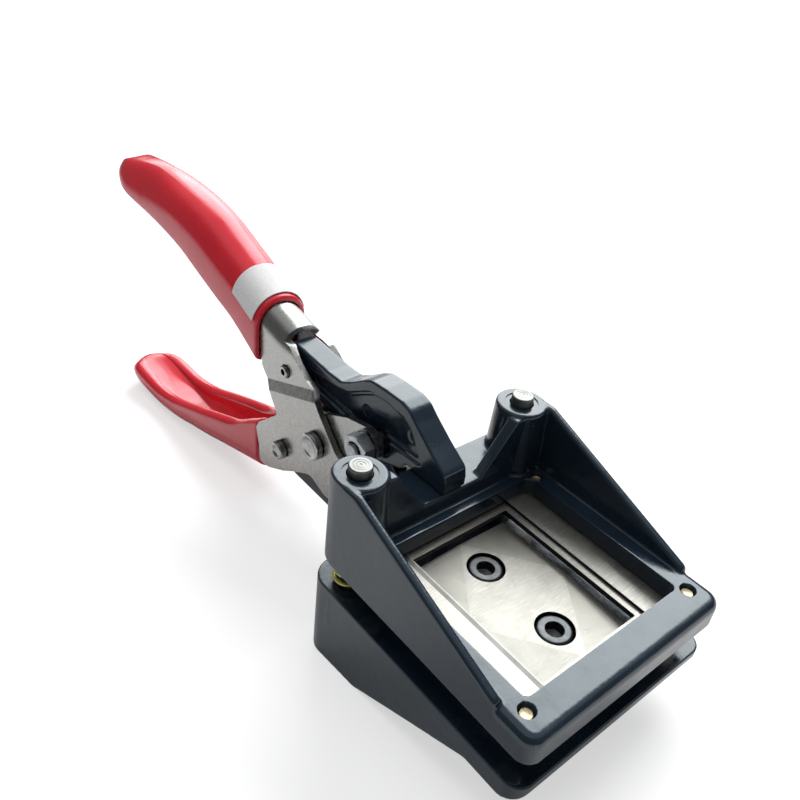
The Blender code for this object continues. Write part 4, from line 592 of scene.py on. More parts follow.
class Look(Graph):
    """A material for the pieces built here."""

    def __init__(self, name, slot, colour, roughness, metallic, **constants):
        self.material = bpy.data.materials.new(name)
        self.material.use_nodes = True
        self.material.diffuse_color = (*colour, 1.0)
        super().__init__(self.material.node_tree)
        self.shader = self.nodes["Principled BSDF"]
        constants.update(Base_Color=(*colour, 1.0), Roughness=roughness, Metallic=metallic)
        for socket, value in constants.items():
            self.put(self.shader, socket.replace("_", " "), value)
        self.place = self.add("TexCoord").outputs["Object"]

    def moved(self, **values):
        """The place on the piece, moved, turned or stretched."""
        return self.add("Mapping", Vector=self.place, **values).outputs["Vector"]

    def noise(self, scale, detail=3.0, roughness=0.55, place=None):
        made = self.add("TexNoise", Scale=scale, Detail=detail, Roughness=roughness)
        self.put(made, "Vector", place or self.place)
        return made.outputs["Fac"]

    def ramp(self, source, *stops):
        """Map a value to a value or a colour: (place, value) or (place, colour)."""
        made = self.add("ValToRGB", Fac=source)
        band = made.color_ramp
        while len(band.elements) < len(stops):
            band.elements.new(0.5)
        for element, (at, value) in zip(band.elements, stops):
            element.position = at
            colour = value if isinstance(value, tuple) else (value, value, value)
            element.color = (*colour, 1.0)
        return made.outputs["Color"]

    def mix(self, factor, first, second):
        made = self.add("Mix")
        made.data_type = 'RGBA'
        for socket, value in ((0, factor), (6, first), (7, second)):
            self.put(made, socket, (*value, 1.0) if isinstance(value, tuple) else value)
        return made.outputs[2]

    def sum(self, first, second, share=1.0):
        return self.sums('MULTIPLY_ADD', second, share, first)

    def edges(self, low, high):
        """Nearly 1 on worn convex edges and 0 on flats and in hollows."""
        return self.ramp(self.add("NewGeometry").outputs["Pointiness"], (low, 0.0), (high, 1.0))

    def facing_up(self, low, high):
        """How far the surface faces up, from 0 at one cosine to 1 at the other."""
        normal = self.add("NewGeometry").outputs["Normal"]
        return self.stepped(self.sums('DOT_PRODUCT', normal, (0.0, 0.0, 1.0), kind="VectorMath"), low, high)

    def split(self, source):
        return self.add("SeparateXYZ", Vector=source).outputs

    def in_tool(self):
        """The place in the tool's own frame, in which the deck is level."""
        back = TOOL.inverted()
        return self.split(self.moved(Location=back.translation, Rotation=back.to_euler()))

    def diamond(self):
        """Reaches one on the lines between the middles of the punch's sides; below zero off the punch."""
        x, y, z = self.in_tool()
        across = self.sums('DIVIDE', self.sums('ABSOLUTE', x), PHOTO_HALF_X)
        along = self.sums('DIVIDE', self.sums('ABSOLUTE', y), PHOTO_HALF_Y)
        apart = self.sums('GREATER_THAN', z, PUNCH_TOP_Z + GAP)
        both = self.sums('ADD', across, along)
        return self.sums('SUBTRACT', both, self.sums('MULTIPLY', apart, OFF_PUNCH))

    def band(self):
        """The narrow ground edge along the left side of the die's opening, where a strip of painted shade
        goes.
        """
        x, y, z = self.in_tool()
        inner = self.sums('LESS_THAN', x, -PHOTO_HALF_X - PAINTED_SHADE_STRIP_START)
        outer = self.sums('GREATER_THAN', x, -PHOTO_HALF_X - PAINTED_SHADE_STRIP_END)
        above = self.sums('GREATER_THAN', z, PUNCH_TOP_Z + GAP)
        return self.sums('MULTIPLY', self.sums('MULTIPLY', inner, outer), above)

    def inward(self):
        """One on the faces that look at the middle of the tool from the side, where the sheet's painted shade
        goes.
        """
        x = self.split(self.place)[0]
        way = self.split(self.add("NewGeometry").outputs["Normal"])[0]
        return self.stepped(self.sums('MULTIPLY', x, way), *INWARD_REACH, way='LINEAR')

    def finish(self, colour, roughness, height, distance, strength):
        """Link the three maps to the shader."""
        bump = self.add("Bump", Strength=strength, Distance=distance, Height=height)
        self.put(self.shader, "Base Color", colour)
        self.put(self.shader, "Roughness", roughness)
        self.put(self.shader, "Normal", bump.outputs["Normal"])
        return self.material


def black_enamel():
    """Glossy enamel over a rough casting, with dust on it."""
    look = Look(
        "enamel_look", "black_enamel", (0.007, 0.012, 0.019), 0.20, 0.0,
        IOR=1.60, Specular_Tint=(0.91, 0.985, 0.99, 1.0),
    )
    dust = look.ramp(look.noise(2600.0, 2.0, 0.6), (0.66, 0.0), (0.76, 1.0))
    patches = look.ramp(look.noise(160.0, 4.0, 0.65), (0.50, 0.0), (0.74, 0.8))
    specks = look.mix(patches, (0.0, 0.0, 0.0), dust)
    base = look.ramp(look.noise(60.0), (0.35, (0.007, 0.014, 0.024)), (0.70, (0.012, 0.021, 0.034)))
    worn = look.mix(look.edges(0.53, 0.60), base, (0.036, 0.045, 0.056))
    smudges = look.ramp(look.noise(220.0, 5.0, 0.6), (0.35, 0.13), (0.70, 0.26))
    skin = look.sum(look.noise(260.0, 2.0), look.noise(1100.0, 2.0), 0.25)
    tone = look.mix(specks, worn, (0.12, 0.13, 0.14))
    return look.finish(tone, look.mix(specks, smudges, (0.6, 0.6, 0.6)), skin, 0.00022, 0.30)


def ground_steel():
    """Steel ground both ways on the slant, so that fine lines cross."""
    look = Look("ground_look", "ground_steel", (0.48, 0.47, 0.43), 0.34, 1.0)
    ways = []
    for turn in GRINDING_ANGLES:
        slant = look.moved(Scale=(260.0, 5200.0, 260.0), Rotation=(0, 0, math.radians(turn)))
        ways.append(look.noise(1.0, 4.0, 0.6, slant))
    lines = look.sum(*ways)
    blotches = look.noise(190.0, 4.0, 0.6)
    base = look.ramp(blotches, (0.30, (0.50, 0.49, 0.445)), (0.70, (0.62, 0.61, 0.56)))
    lined = look.mix(look.ramp(lines, (0.80, 0.0), (1.25, 0.45)), base, (0.28, 0.27, 0.245))
    # Painted shade: the punch's sheared corner facets, outside the diamond, get a darker colour than its flat
    # middle.
    corner = look.ramp(look.diamond(), (0.985, 0.0), (1.015, 1.0))
    painted_facet_shade = look.ramp(blotches, (0.30, (0.36, 0.35, 0.315)), (0.70, (0.44, 0.43, 0.39)))
    # Painted shade: a darker strip on the ground edge along the left of the die's opening.
    tone = look.mix(look.band(), look.mix(corner, lined, painted_facet_shade), (0.20, 0.20, 0.185))
    # Painted shade: faces that do not look up, such as the walls of the die's opening and the punch's sides,
    # are made near black.
    tone = look.mix(look.facing_up(0.30, 0.85), (0.035, 0.036, 0.040), tone)
    return look.finish(tone, look.ramp(blotches, (0.30, 0.44), (0.70, 0.56)), lines, 0.00006, 0.6)


def sheet_steel():
    """Tumbled sheet: grey, mottled and a little scratched, with painted shade where it faces inward."""
    look = Look("sheet_look", "sheet_steel", (0.36, 0.365, 0.355), 0.42, 1.0)
    mottle = look.noise(520.0, 5.0, 0.7)
    fine = look.noise(2600.0, 3.0, 0.7)
    base = look.ramp(look.sum(mottle, fine, 0.4), (0.30, (0.35, 0.35, 0.335)), (1.10, (0.44, 0.44, 0.42)))
    grain = look.moved(Scale=(90.0, 160.0, 2600.0), Rotation=(math.radians(50), 0, 0))
    scratches = look.ramp(look.noise(1.0, 5.0, 0.7, grain), (0.66, 0.0), (0.80, 0.35))
    scored = look.mix(scratches, base, (0.56, 0.56, 0.54))
    # Painted shade: inward faces, apart from those that look down, are made near black.
    shaded = look.sums('MULTIPLY', look.inward(), look.facing_up(-0.9, -0.5))
    tone = look.mix(shaded, (0.045, 0.045, 0.047), scored)
    roughness = look.ramp(mottle, (0.30, 0.22), (0.75, 0.34))
    return look.finish(tone, roughness, look.sum(fine, mottle, 0.7), 0.00002, 0.4)


def red_vinyl():
    """Dip-moulded vinyl: glossy, with slow waves in its skin."""
    look = Look(
        "vinyl_look", "red_vinyl", (0.48, 0.012, 0.022), 0.24, 0.0,
        IOR=1.55, Specular_Tint=(0.80, 0.93, 1.0, 1.0),
    )
    base = look.ramp(look.noise(45.0), (0.30, (0.51, 0.013, 0.023)), (0.72, (0.60, 0.021, 0.034)))
    dust = look.ramp(look.noise(3000.0, 2.0), (0.70, 0.0), (0.78, 0.35))
    roughness = look.ramp(look.noise(150.0, 4.0), (0.30, 0.12), (0.70, 0.21))
    waves = look.sum(look.noise(120.0, 2.0), look.noise(900.0, 2.0), 0.2)
    return look.finish(look.mix(dust, base, (0.62, 0.34, 0.33)), roughness, waves, 0.00030, 0.22)


def white_paper():
    look = Look("paper_look", "white_paper", (0.66, 0.65, 0.64), 0.65, 0.0)
    fibres = look.noise(1500.0, 4.0, 0.7)
    tone = look.ramp(fibres, (0.30, (0.58, 0.575, 0.57)), (0.70, (0.69, 0.685, 0.68)))
    return look.finish(tone, look.ramp(look.noise(300.0), (0.30, 0.55), (0.70, 0.72)), fibres, 0.00004, 0.5)


def black_oxide():
    """Blackened steel, darkest on the flat of a head."""
    look = Look("oxide_look", "black_oxide", (0.040, 0.042, 0.044), 0.48, 0.5)
    tone = look.ramp(look.noise(700.0, 4.0), (0.30, (0.11, 0.12, 0.122)), (0.75, (0.17, 0.18, 0.182)))
    tone = look.mix(look.facing_up(0.90, 0.985), (0.012, 0.013, 0.015), tone)
    roughness = look.ramp(look.noise(500.0), (0.30, 0.40), (0.75, 0.52))
    return look.finish(tone, roughness, look.noise(2200.0), 0.00004, 0.5)


def plated(name, slot, dark, light, smooth, rough, grain):
    """A turned or plated metal: close marks, and a slow change of tone."""
    look = Look(name, slot, light, (smooth + rough) / 2, 1.0)
    tone = look.noise(grain / 4, 4.0, 0.6)
    fine = look.noise(grain * 2, 3.0, 0.7)
    colour = look.ramp(look.sum(tone, fine, 0.3), (0.40, dark), (0.85, light))
    return look.finish(colour, look.ramp(tone, (0.30, smooth), (0.72, rough)), fine, 0.00004, 0.5)


ENAMEL = black_enamel()
GROUND = ground_steel()
SHEET_STEEL = sheet_steel()
VINYL = red_vinyl()
PAPER = white_paper()
BLACK_OXIDE = black_oxide()
BRIGHT = plated("bright_look", "bright_steel", (0.17, 0.17, 0.163), (0.28, 0.28, 0.263), 0.34, 0.50, 1400.0)
PIN_STEEL = plated("pin_look", "bright_steel", (0.26, 0.265, 0.26), (0.52, 0.525, 0.51), 0.14, 0.26, 1400.0)
ZINC = plated("zinc_look", "zinc_plate", (0.24, 0.26, 0.27), (0.50, 0.52, 0.53), 0.22, 0.38, 1600.0)
BRASS = plated("brass_look", "brass", (0.62, 0.49, 0.27), (0.88, 0.78, 0.52), 0.34, 0.50, 1500.0)
YELLOW_ZINC = plated("greasy_look", "yellow_zinc", (0.26, 0.24, 0.05), (0.58, 0.55, 0.20), 0.26, 0.46, 1500.0)


# Shapes

def spread(first, last, count):
    """Values in equal steps, with both ends."""
    return [first + (last - first) * step / count for step in range(count + 1)]


def quarter(count):
    return spread(0.0, math.pi / 2, count)


def polar(radius, angle):
    return Vector((radius * math.cos(angle), radius * math.sin(angle)))


def eased(share, start, end):
    """From 0 at the start to 1 at the end, smooth at both."""
    part = min(1.0, max(0.0, (share - start) / (end - start)))
    return part * part * (3.0 - 2.0 * part)


def boolean(target, others, operation):
    for other in others:
        step = target.modifiers.new(other.name, 'BOOLEAN')
        step.operation = operation
        step.solver = 'EXACT'
        step.object = guide(other)


def cut(target, *others):
    boolean(target, others, 'DIFFERENCE')


def join(target, *others):
    boolean(target, others, 'UNION')


def trim(target, other):
    boolean(target, [other], 'INTERSECT')


def bevel(item, width, segments=RIM_SEGMENTS, angle=30.0):
    step = item.modifiers.new("edges", 'BEVEL')
    step.width = width
    step.segments = segments
    step.limit_method = 'ANGLE'
    step.angle_limit = math.radians(angle)
    step.use_clamp_overlap = True


def from_bmesh(name, bm):
    bmesh.ops.recalc_face_normals(bm, faces=bm.faces)
    mesh = bpy.data.meshes.new(name)
    bm.to_mesh(mesh)
    bm.free()
    return bpy.data.objects.new(name, mesh)


@contextlib.contextmanager
def edited(item):
    """Work on an object's mesh in place."""
    bm = bmesh.new()
    bm.from_mesh(item.data)
    yield bm
    bmesh.ops.recalc_face_normals(bm, faces=bm.faces)
    bm.to_mesh(item.data)
    bm.free()


def sliced(bm, point, normal, clear=False):
    """Cut a mesh along a plane, and give what the cut leaves on it."""
    geometry = list(bm.verts) + list(bm.edges) + list(bm.faces)
    made = bmesh.ops.bisect_plane(
        bm, geom=geometry, dist=WELD, plane_co=point, plane_no=normal, clear_outer=clear,
    )
    return made['geom_cut']


def joined(name, items):
    """One object from several that don't touch."""
    bm = bmesh.new()
    for item in items:
        bm.from_mesh(item.data)
    mesh = bpy.data.meshes.new(name)
    bm.to_mesh(mesh)
    bm.free()
    return bpy.data.objects.new(name, mesh)


def box(name, low, high):
    bm = bmesh.new()
    bmesh.ops.create_cube(bm, size=1.0)
    bmesh.ops.scale(bm, vec=Vector(high) - Vector(low), verts=bm.verts)
    bmesh.ops.translate(bm, vec=(Vector(high) + Vector(low)) / 2, verts=bm.verts)
    return from_bmesh(name, bm)


AXES = {
    'Z': Matrix.Identity(4),
    'X': Matrix(((0, 0, 1, 0), (1, 0, 0, 0), (0, 1, 0, 0), (0, 0, 0, 1))),
    'Y': Matrix(((1, 0, 0, 0), (0, 0, -1, 0), (0, 1, 0, 0), (0, 0, 0, 1))),
}


def cylinder(name, radius, start, end, axis, centre, steps, end_radius=None):
    """A cylinder or cone along an axis, from start to end on that axis."""
    start, end = sorted((start, end))
    bm = bmesh.new()
    top = radius if end_radius is None else end_radius
    bmesh.ops.create_cone(bm, cap_ends=True, segments=steps, radius1=radius, radius2=top, depth=end - start)
    bmesh.ops.translate(bm, vec=(0, 0, (start + end) / 2), verts=bm.verts)
    bmesh.ops.transform(bm, matrix=AXES[axis], verts=bm.verts)
    bmesh.ops.translate(bm, vec=centre, verts=bm.verts)
    return from_bmesh(name, bm)


def pin_hole(radius, reach, y, z):
    """A hole across the tool, with the play of a pin."""
    return cylinder("pin_hole", radius + PIN_PLAY, -reach, reach, 'X', (0, y, z), PIN_STEPS)


def turned(name, profile, axis, centre, steps):
    """A turned piece: (radius, height) pairs from the top down."""
    bm = bmesh.new()
    points = [bm.verts.new((radius, 0, height)) for radius, height in profile]
    for first, second in zip(points, points[1:]):
        bm.edges.new((first, second))
    item = from_bmesh(name, bm)
    screw = item.modifiers.new("turn", 'SCREW')
    screw.axis = 'Z'
    screw.steps = steps
    screw.render_steps = steps
    screw.use_merge_vertices = True
    screw.merge_threshold = WELD
    screw.use_smooth_shade = False
    settle(item)
    item.data.transform(Matrix.Translation(centre) @ AXES[axis])
    return item


def rim(radius, top, width, drop):
    """The rounded rim of a turned head, from the inside out."""
    return [
        (radius - width + width * math.sin(angle), top - drop + drop * math.cos(angle))
        for angle in quarter(LIP_STEPS)
    ]


def neighbours(corners, index):
    """A corner and the lines from it to the corners before and after it."""
    here = Vector(corners[index][:2])
    return here, Vector(corners[index - 1][:2]) - here, Vector(corners[(index + 1) % len(corners)][:2]) - here


def rounded(corners, radius):
    """Round the corners of an outline: each corner is (u, v, share of the radius)."""
    points = []
    for index, corner in enumerate(corners):
        here, to_before, to_after = neighbours(corners, index)
        wanted = radius * corner[2]
        turn = math.pi - to_before.angle(to_after)
        if wanted <= 0 or turn < STRAIGHT_ANGLE:
            points.append(here)
            continue
        longest = min(to_before.length, to_after.length) * CORNER_REACH_SHARE
        reach = min(wanted * math.tan(turn / 2), longest)
        start = here + to_before.normalized() * reach
        end = here + to_after.normalized() * reach
        for part in spread(0.0, 1.0, CORNER_STEPS):
            points.append(start.lerp(here, part).lerp(here.lerp(end, part), part))
    return points


def plan(x, front, rear, front_round, rear_round):
    """A plan outline, right and left alike, with true arcs of its own radius at each end."""
    corners = [(-x, front, front_round), (x, front, front_round)]
    corners += [(x, rear, rear_round), (-x, rear, rear_round)]
    points = []
    for index, corner in enumerate(corners):
        here, to_before, to_after = neighbours(corners, index)
        before = to_before.normalized() * corner[2]
        after = to_after.normalized() * corner[2]
        for angle in quarter(BEND_STEPS + 1):
            points.append(here + before + after - after * math.cos(angle) - before * math.sin(angle))
    return points


def curve_mesh(name, curve, points, closed=False):
    """The surface of a curve through points."""
    spline = curve.splines.new('POLY')
    spline.points.add(len(points) - 1)
    for slot, point in zip(spline.points, points):
        slot.co = (*point, 1)
    spline.use_cyclic_u = closed
    item = bpy.data.objects.new(name + "_curve", curve)
    mesh = evaluated(item)
    bpy.data.objects.remove(item, do_unlink=True)
    bm = bmesh.new()
    bm.from_mesh(mesh)
    bpy.data.meshes.remove(mesh)
    bmesh.ops.remove_doubles(bm, verts=bm.verts, dist=WELD)
    return bm


def outline(name, points, low, high, axis):
    """A flat outline, filled and extruded from low to high along an axis."""
    low, high = sorted((low, high))
    curve = bpy.data.curves.new(name, 'CURVE')
    curve.dimensions = '2D'
    curve.fill_mode = 'BOTH'
    curve.extrude = (high - low) / 2
    bm = curve_mesh(name, curve, [(u, v, 0) for u, v in points], True)
    bmesh.ops.dissolve_limit(bm, angle_limit=FLAT_ANGLE, verts=bm.verts, edges=bm.edges)
    bmesh.ops.translate(bm, vec=(0, 0, (low + high) / 2), verts=bm.verts)
    bmesh.ops.transform(bm, matrix=AXES[axis], verts=bm.verts)
    return from_bmesh(name, bm)


def loft(name, rings):
    """A closed skin through rings of equal counts, capped at both ends."""
    bm = bmesh.new()
    rows = [[bm.verts.new(point) for point in ring] for ring in rings]
    for near, far in zip(rows, rows[1:]):
        for index in range(len(near)):
            following = (index + 1) % len(near)
            bm.faces.new((near[index], near[following], far[following], far[index]))
    bm.faces.new(list(reversed(rows[0])))
    bm.faces.new(rows[-1])
    return from_bmesh(name, bm)


def around_main(corners, ahead, behind, up, down):
    """Place an outline round the main pin: shares of a length on each side."""
    return [
        (MAIN_Y + u * (behind if u > 0 else ahead), MAIN_Z + v * (up if v > 0 else down), share)
        for u, v, share in corners
    ]


# Lower frame: a plate on wedge-shaped skirts, with a tail back to the grips

def make_lower_frame():
    depth = LOWER_REAR_Y - FRAME_FRONT_Y
    profile = []
    for u, v, share in SKIRT_PROFILE_SHARES:
        y = FRAME_FRONT_Y + u * depth
        table_z = SKIRT_FOOT_Z + (SKIRT_FOOT_Y - y) * REST_SLOPE
        profile.append((y, max(LOWER_TOP_Z + v * SKIRT_DEPTH, table_z), share))
    above = LOWER_TOP_Z + OVERRUN
    below = SKIRT_FOOT_Z - OVERRUN
    body = outline("lower_frame", rounded(profile, TAIL_ROUND), -FRAME_X, FRAME_X, 'X')
    corners = plan(FRAME_X, FRAME_FRONT_Y, LOWER_REAR_Y, LOWER_FRONT_ROUND, LOWER_REAR_ROUND)
    trim(body, outline("lower_plan", corners, below, above, 'Z'))
    bevel(body, LOWER_EDGE_ROUND)
    rear = LOWER_REAR_Y - SKIRT_THICK
    inside = plan(
        FRAME_X - SKIRT_THICK, FRAME_FRONT_Y + HOLLOW_FRONT_SHARE * depth, rear,
        LOWER_EDGE_ROUND, LOWER_REAR_ROUND - SKIRT_THICK / 2,
    )
    cut(body, outline("underside_hollow", inside, below, PLATE_FOOT_Z, 'Z'))
    tail = around_main(TAIL_OUTLINE_SHARES, MAIN_Y - LOWER_REAR_Y, STOP_BACK, ROLL_PIN_RISE, STOP_DROP)
    plate_mid = LOWER_TOP_Z - LOWER_PLATE_THICK / 4
    ahead = PHOTO_HALF_Y - SKIRT_THICK
    root = PLATE_FOOT_Z - LOWER_PLATE_THICK / 2
    tail += [(rear, plate_mid, 0.0), (ahead, plate_mid, 0.0), (ahead, root, 1.0), (rear, tail[0][1], 1.0)]
    join(body, outline("tail", rounded(tail, TAIL_ROUND), -TAIL_HALF, TAIL_HALF, 'X'))
    holes = []
    low = LOWER_TOP_Z - POST_ROOT
    for x in (-POST_X, POST_X):
        place = (x, POST_Y, 0)
        top = LOWER_TOP_Z - LOWER_PLATE_THICK / 2
        join(body, cylinder("post_boss", POST_BOSS_RADIUS, low, top, 'Z', place, PIN_STEPS))
        holes.append(cylinder("post_hole", POST_RADIUS + GAP, low - OVERRUN, above, 'Z', place, PIN_STEPS))
    for _, y in PUNCH_SCREW_PLACES:
        hole = PUNCH_SHANK_RADIUS + GAP
        holes.append(cylinder("screw_hole", hole, PLATE_FOOT_Z - OVERRUN, above, 'Z', (0, y, 0), SMALL_STEPS))
    for radius, y, z in (
        (MAIN_PIN_RADIUS, MAIN_Y, MAIN_Z), (STOP_RADIUS, STOP_Y, STOP_Z),
        (STOP_RADIUS, FRAME_RIVET_Y, FRAME_RIVET_Z),
    ):
        holes.append(pin_hole(radius, TAIL_HALF + OVERRUN, y, z))
    cut(body, joined("holes", holes))
    cast(body)
    keep(body, ENAMEL, UPPER_HANDLE, 60.0)


# Upper frame: a ring with a window, two walls, two bosses and a rear deck

def top_edges(item, width):
    """Round only the upper outer edges of an extruded plan."""
    with edited(item) as bm:
        high = max(vert.co.z for vert in bm.verts)
        edges = [edge for edge in bm.edges if all(abs(vert.co.z - high) < WELD for vert in edge.verts)]
        bmesh.ops.bevel(
            bm, geom=edges, offset=width, offset_type='OFFSET', segments=3, profile=0.5, affect='EDGES',
        )


def make_upper_frame():
    below = FRAME_FOOT_Z - OVERRUN
    root = FRAME_FOOT_Z / 2
    corners = plan(FRAME_X, FRAME_FRONT_Y, FRAME_REAR_Y, FRONT_ROUND, REAR_ROUND)
    body = outline("upper_frame", corners, FRAME_FOOT_Z, TOP_Z, 'Z')
    top_edges(body, DECK_EDGE_ROUND)
    wall_front = POST_Y - WALL_FRONT_SHARE * (POST_Y - FRAME_FRONT_Y)
    boss_front = POST_Y - BOSS_TOP_RADIUS * BOSS_FRONT_SHARE
    base = FRAME_FOOT_Z + DIE_THICK / 2
    wall = rounded((
        (wall_front, base, 0.0), (wall_front + WALL_EDGE_ROUND, WALL_FOOT_RISE, 1.0),
        (boss_front, BOSS_HEIGHT, 1.0), (POST_Y, BOSS_HEIGHT, 0.0), (POST_Y, base, 0.0),
    ), WALL_EDGE_ROUND * 2)
    shoulder = BOSS_HEIGHT - BOSS_EDGE_ROUND
    for _, sign in SIDES:
        panel = outline("wall", wall, sign * FRAME_X, sign * (FRAME_X - WALL_THICK), 'X')
        bevel(panel, WALL_EDGE_ROUND)
        post = sign * POST_X
        boss = cylinder(
            "boss", BOSS_FOOT_RADIUS, root, BOSS_HEIGHT, 'Z', (post, POST_Y, 0), ROUND_STEPS, BOSS_TOP_RADIUS,
        )
        bevel(boss, BOSS_EDGE_ROUND)
        gusset = rounded((
            (post, root, 0.0), (post, shoulder, 0.0), (sign * NOTCH_TOP_HALF, shoulder, 0.0),
            (sign * NOTCH_HALF, NOTCH_Z, 0.0), (sign * NOTCH_HALF, root, 0.0),
        ), WALL_EDGE_ROUND)
        web = outline("gusset", gusset, -BULKHEAD_Y - BULKHEAD_THICK, -BULKHEAD_Y, 'Y')
        bevel(web, WALL_EDGE_ROUND / 2)
        join(body, panel, boss, web)
    rear = box("rear_deck", (-POST_X, BULKHEAD_Y, root), (POST_X, FRAME_REAR_Y, NOTCH_Z))
    bevel(rear, WALL_EDGE_ROUND)
    join(body, rear)
    trim(body, outline("upper_plan", corners, below, BOSS_HEIGHT + OVERRUN, 'Z'))
    window = plan(WINDOW_X, WINDOW_FRONT_Y, WINDOW_REAR_Y, WINDOW_ROUND, WINDOW_REAR_ROUND)
    cut(body, outline("window", window, below, TOP_Z + OVERRUN, 'Z'))
    bed = plan(DIE_X + GAP, DIE_FRONT_Y - GAP, DIE_REAR_Y + GAP, WINDOW_ROUND, WINDOW_ROUND)
    cut(body, outline("die_bed", bed, below, DIE_TOP_Z, 'Z'))
    cast(body)
    bores = []
    for _, x, y in DIE_SCREW_PLACES:
        hole = DIE_SCREW_RADIUS + GAP
        profile = [(0, OVERRUN), (hole, OVERRUN)]
        if y < 0:
            profile = [(0, OVERRUN), (hole + SCREW_MOUTH + OVERRUN, OVERRUN), (hole, -SCREW_MOUTH)]
        profile += [(hole, DIE_TOP_Z - OVERRUN), (0, DIE_TOP_Z - OVERRUN)]
        bores.append(turned("screw_bore", profile, 'Z', (x, y, 0), PIN_STEPS))
    hole = POST_RADIUS + GAP
    ring = hole + SEAT_RING_WIDTH
    ring_z = BOSS_HEIGHT - SEAT_RING_DEPTH
    above = BOSS_HEIGHT + OVERRUN
    profile = (
        (0, above), (ring, above), (ring, ring_z), (hole, ring_z), (hole, BORE_TOP_Z),
        (SPRING_BORE_RADIUS, BORE_TOP_Z), (SPRING_BORE_RADIUS, below), (0, below),
    )
    for x in (-POST_X, POST_X):
        bores.append(turned("bore", profile, 'Z', (x, POST_Y, 0), PIN_STEPS))
    cut(body, joined("bores", bores))
    keep(body, ENAMEL, UPPER_FRAME, 50.0)


# Die plate: a sunk bed, a raised land and the cut-out

def make_die():
    corners = plan(DIE_X, DIE_FRONT_Y, DIE_REAR_Y, WINDOW_ROUND, WINDOW_ROUND)
    body = outline("die_plate", corners, FRAME_FOOT_Z, DIE_TOP_Z - GAP, 'Z')
    open_x = PHOTO_HALF_X + GAP / 2
    open_y = PHOTO_HALF_Y + GAP / 2
    for step_name, more, floor in (
        ("land_step", LAND_WIDTH, DIE_TOP_Z - LAND_STEP), ("cut_out", 0.0, FRAME_FOOT_Z - OVERRUN),
    ):
        x = open_x + more
        y = open_y + more
        cut(body, box(step_name, (-x, -y, floor), (x, y, TOP_Z + OVERRUN)))
    for _, x, y in DIE_SCREW_PLACES:
        hole = DIE_SCREW_RADIUS + GAP
        cut(body, cylinder("die_hole", hole, FRAME_FOOT_Z - OVERRUN, TOP_Z, 'Z', (x, y, 0), SMALL_STEPS))
    keep(body, GROUND, UPPER_FRAME)


def threaded(radius, high, low):
    """The side of a thread, drawn as close rings, from the top down."""
    points = []
    count = max(1, int((high - low) / THREAD_PITCH))
    step = (high - low) / count
    for top in spread(high, low, count)[:-1]:
        points.append((radius - THREAD_DEPTH, top))
        points += [(radius, top - step * share) for share in THREAD_CREST_SHARES]
    return points + [(radius - THREAD_DEPTH, low)]


def make_die_screws():
    tip = TOP_Z - DIE_SCREW_SINK
    under = FRAME_FOOT_Z - GAP
    foot = under - DIE_HEAD_HEIGHT
    hollow = tip - DIE_TIP_HOLLOW
    profile = [(0, hollow), (DIE_TIP_RADIUS / 2, hollow), (DIE_TIP_RADIUS, tip)]
    profile.append((DIE_SCREW_RADIUS - THREAD_DEPTH, tip - DIE_TIP_DROP))
    profile += threaded(DIE_SCREW_RADIUS, tip - HEAD_CHAMFER, under)
    profile += [
        (DIE_HEAD_RADIUS, under), (DIE_HEAD_RADIUS, foot + HEAD_CHAMFER),
        (DIE_HEAD_RADIUS - HEAD_CHAMFER, foot), (0, foot),
    ]
    across = DIE_HEAD_RADIUS + OVERRUN
    along = DIE_DRIVE_WIDTH / 2
    for place_name, x, y in DIE_SCREW_PLACES:
        screw = turned("die_screw_" + place_name, profile, 'Z', (x, y, 0), SMALL_STEPS)
        low = (x - across, y - along, foot - OVERRUN)
        high = (x + across, y + along, foot + DIE_DRIVE_DEPTH)
        cut(screw, box("drive_slot", low, high))
        keep(screw, BRASS, UPPER_FRAME)


# Punch: a block whose corners fall away from a flat diamond

def make_punch():
    x = PHOTO_HALF_X - GAP / 2
    y = PHOTO_HALF_Y - GAP / 2
    foot = LOWER_TOP_Z + GAP
    body = box("punch", (-x, -y, foot), (x, y, PUNCH_TOP_Z))
    with edited(body) as bm:
        for sign_x in (-1, 1):
            for sign_y in (-1, 1):
                first = Vector((sign_x * x * PUNCH_EDGE_SHARE, 0, PUNCH_TOP_Z))
                second = Vector((0, sign_y * y * PUNCH_EDGE_SHARE, PUNCH_TOP_Z))
                third = Vector((sign_x * x, sign_y * y, PUNCH_TOP_Z - PUNCH_SHEAR))
                normal = (second - first).cross(third - first).normalized()
                edge = sliced(bm, first, normal * math.copysign(1.0, normal.z), True)
                edge = [item for item in edge if isinstance(item, bmesh.types.BMEdge)]
                bmesh.ops.edgeloop_fill(bm, edges=edge)
    floor = PUNCH_TOP_Z - PUNCH_HEAD_SINK - PUNCH_HEAD_HEIGHT - GAP
    for _, place in PUNCH_SCREW_PLACES:
        centre = (0, place, 0)
        above = PUNCH_TOP_Z + OVERRUN
        hole = PUNCH_SHANK_RADIUS + GAP
        cut(body, cylinder("counterbore", PUNCH_COUNTERBORE_RADIUS, floor, above, 'Z', centre, PIN_STEPS))
        cut(body, cylinder("punch_hole", hole, foot - OVERRUN, PUNCH_TOP_Z, 'Z', centre, SMALL_STEPS))
    keep(body, GROUND)


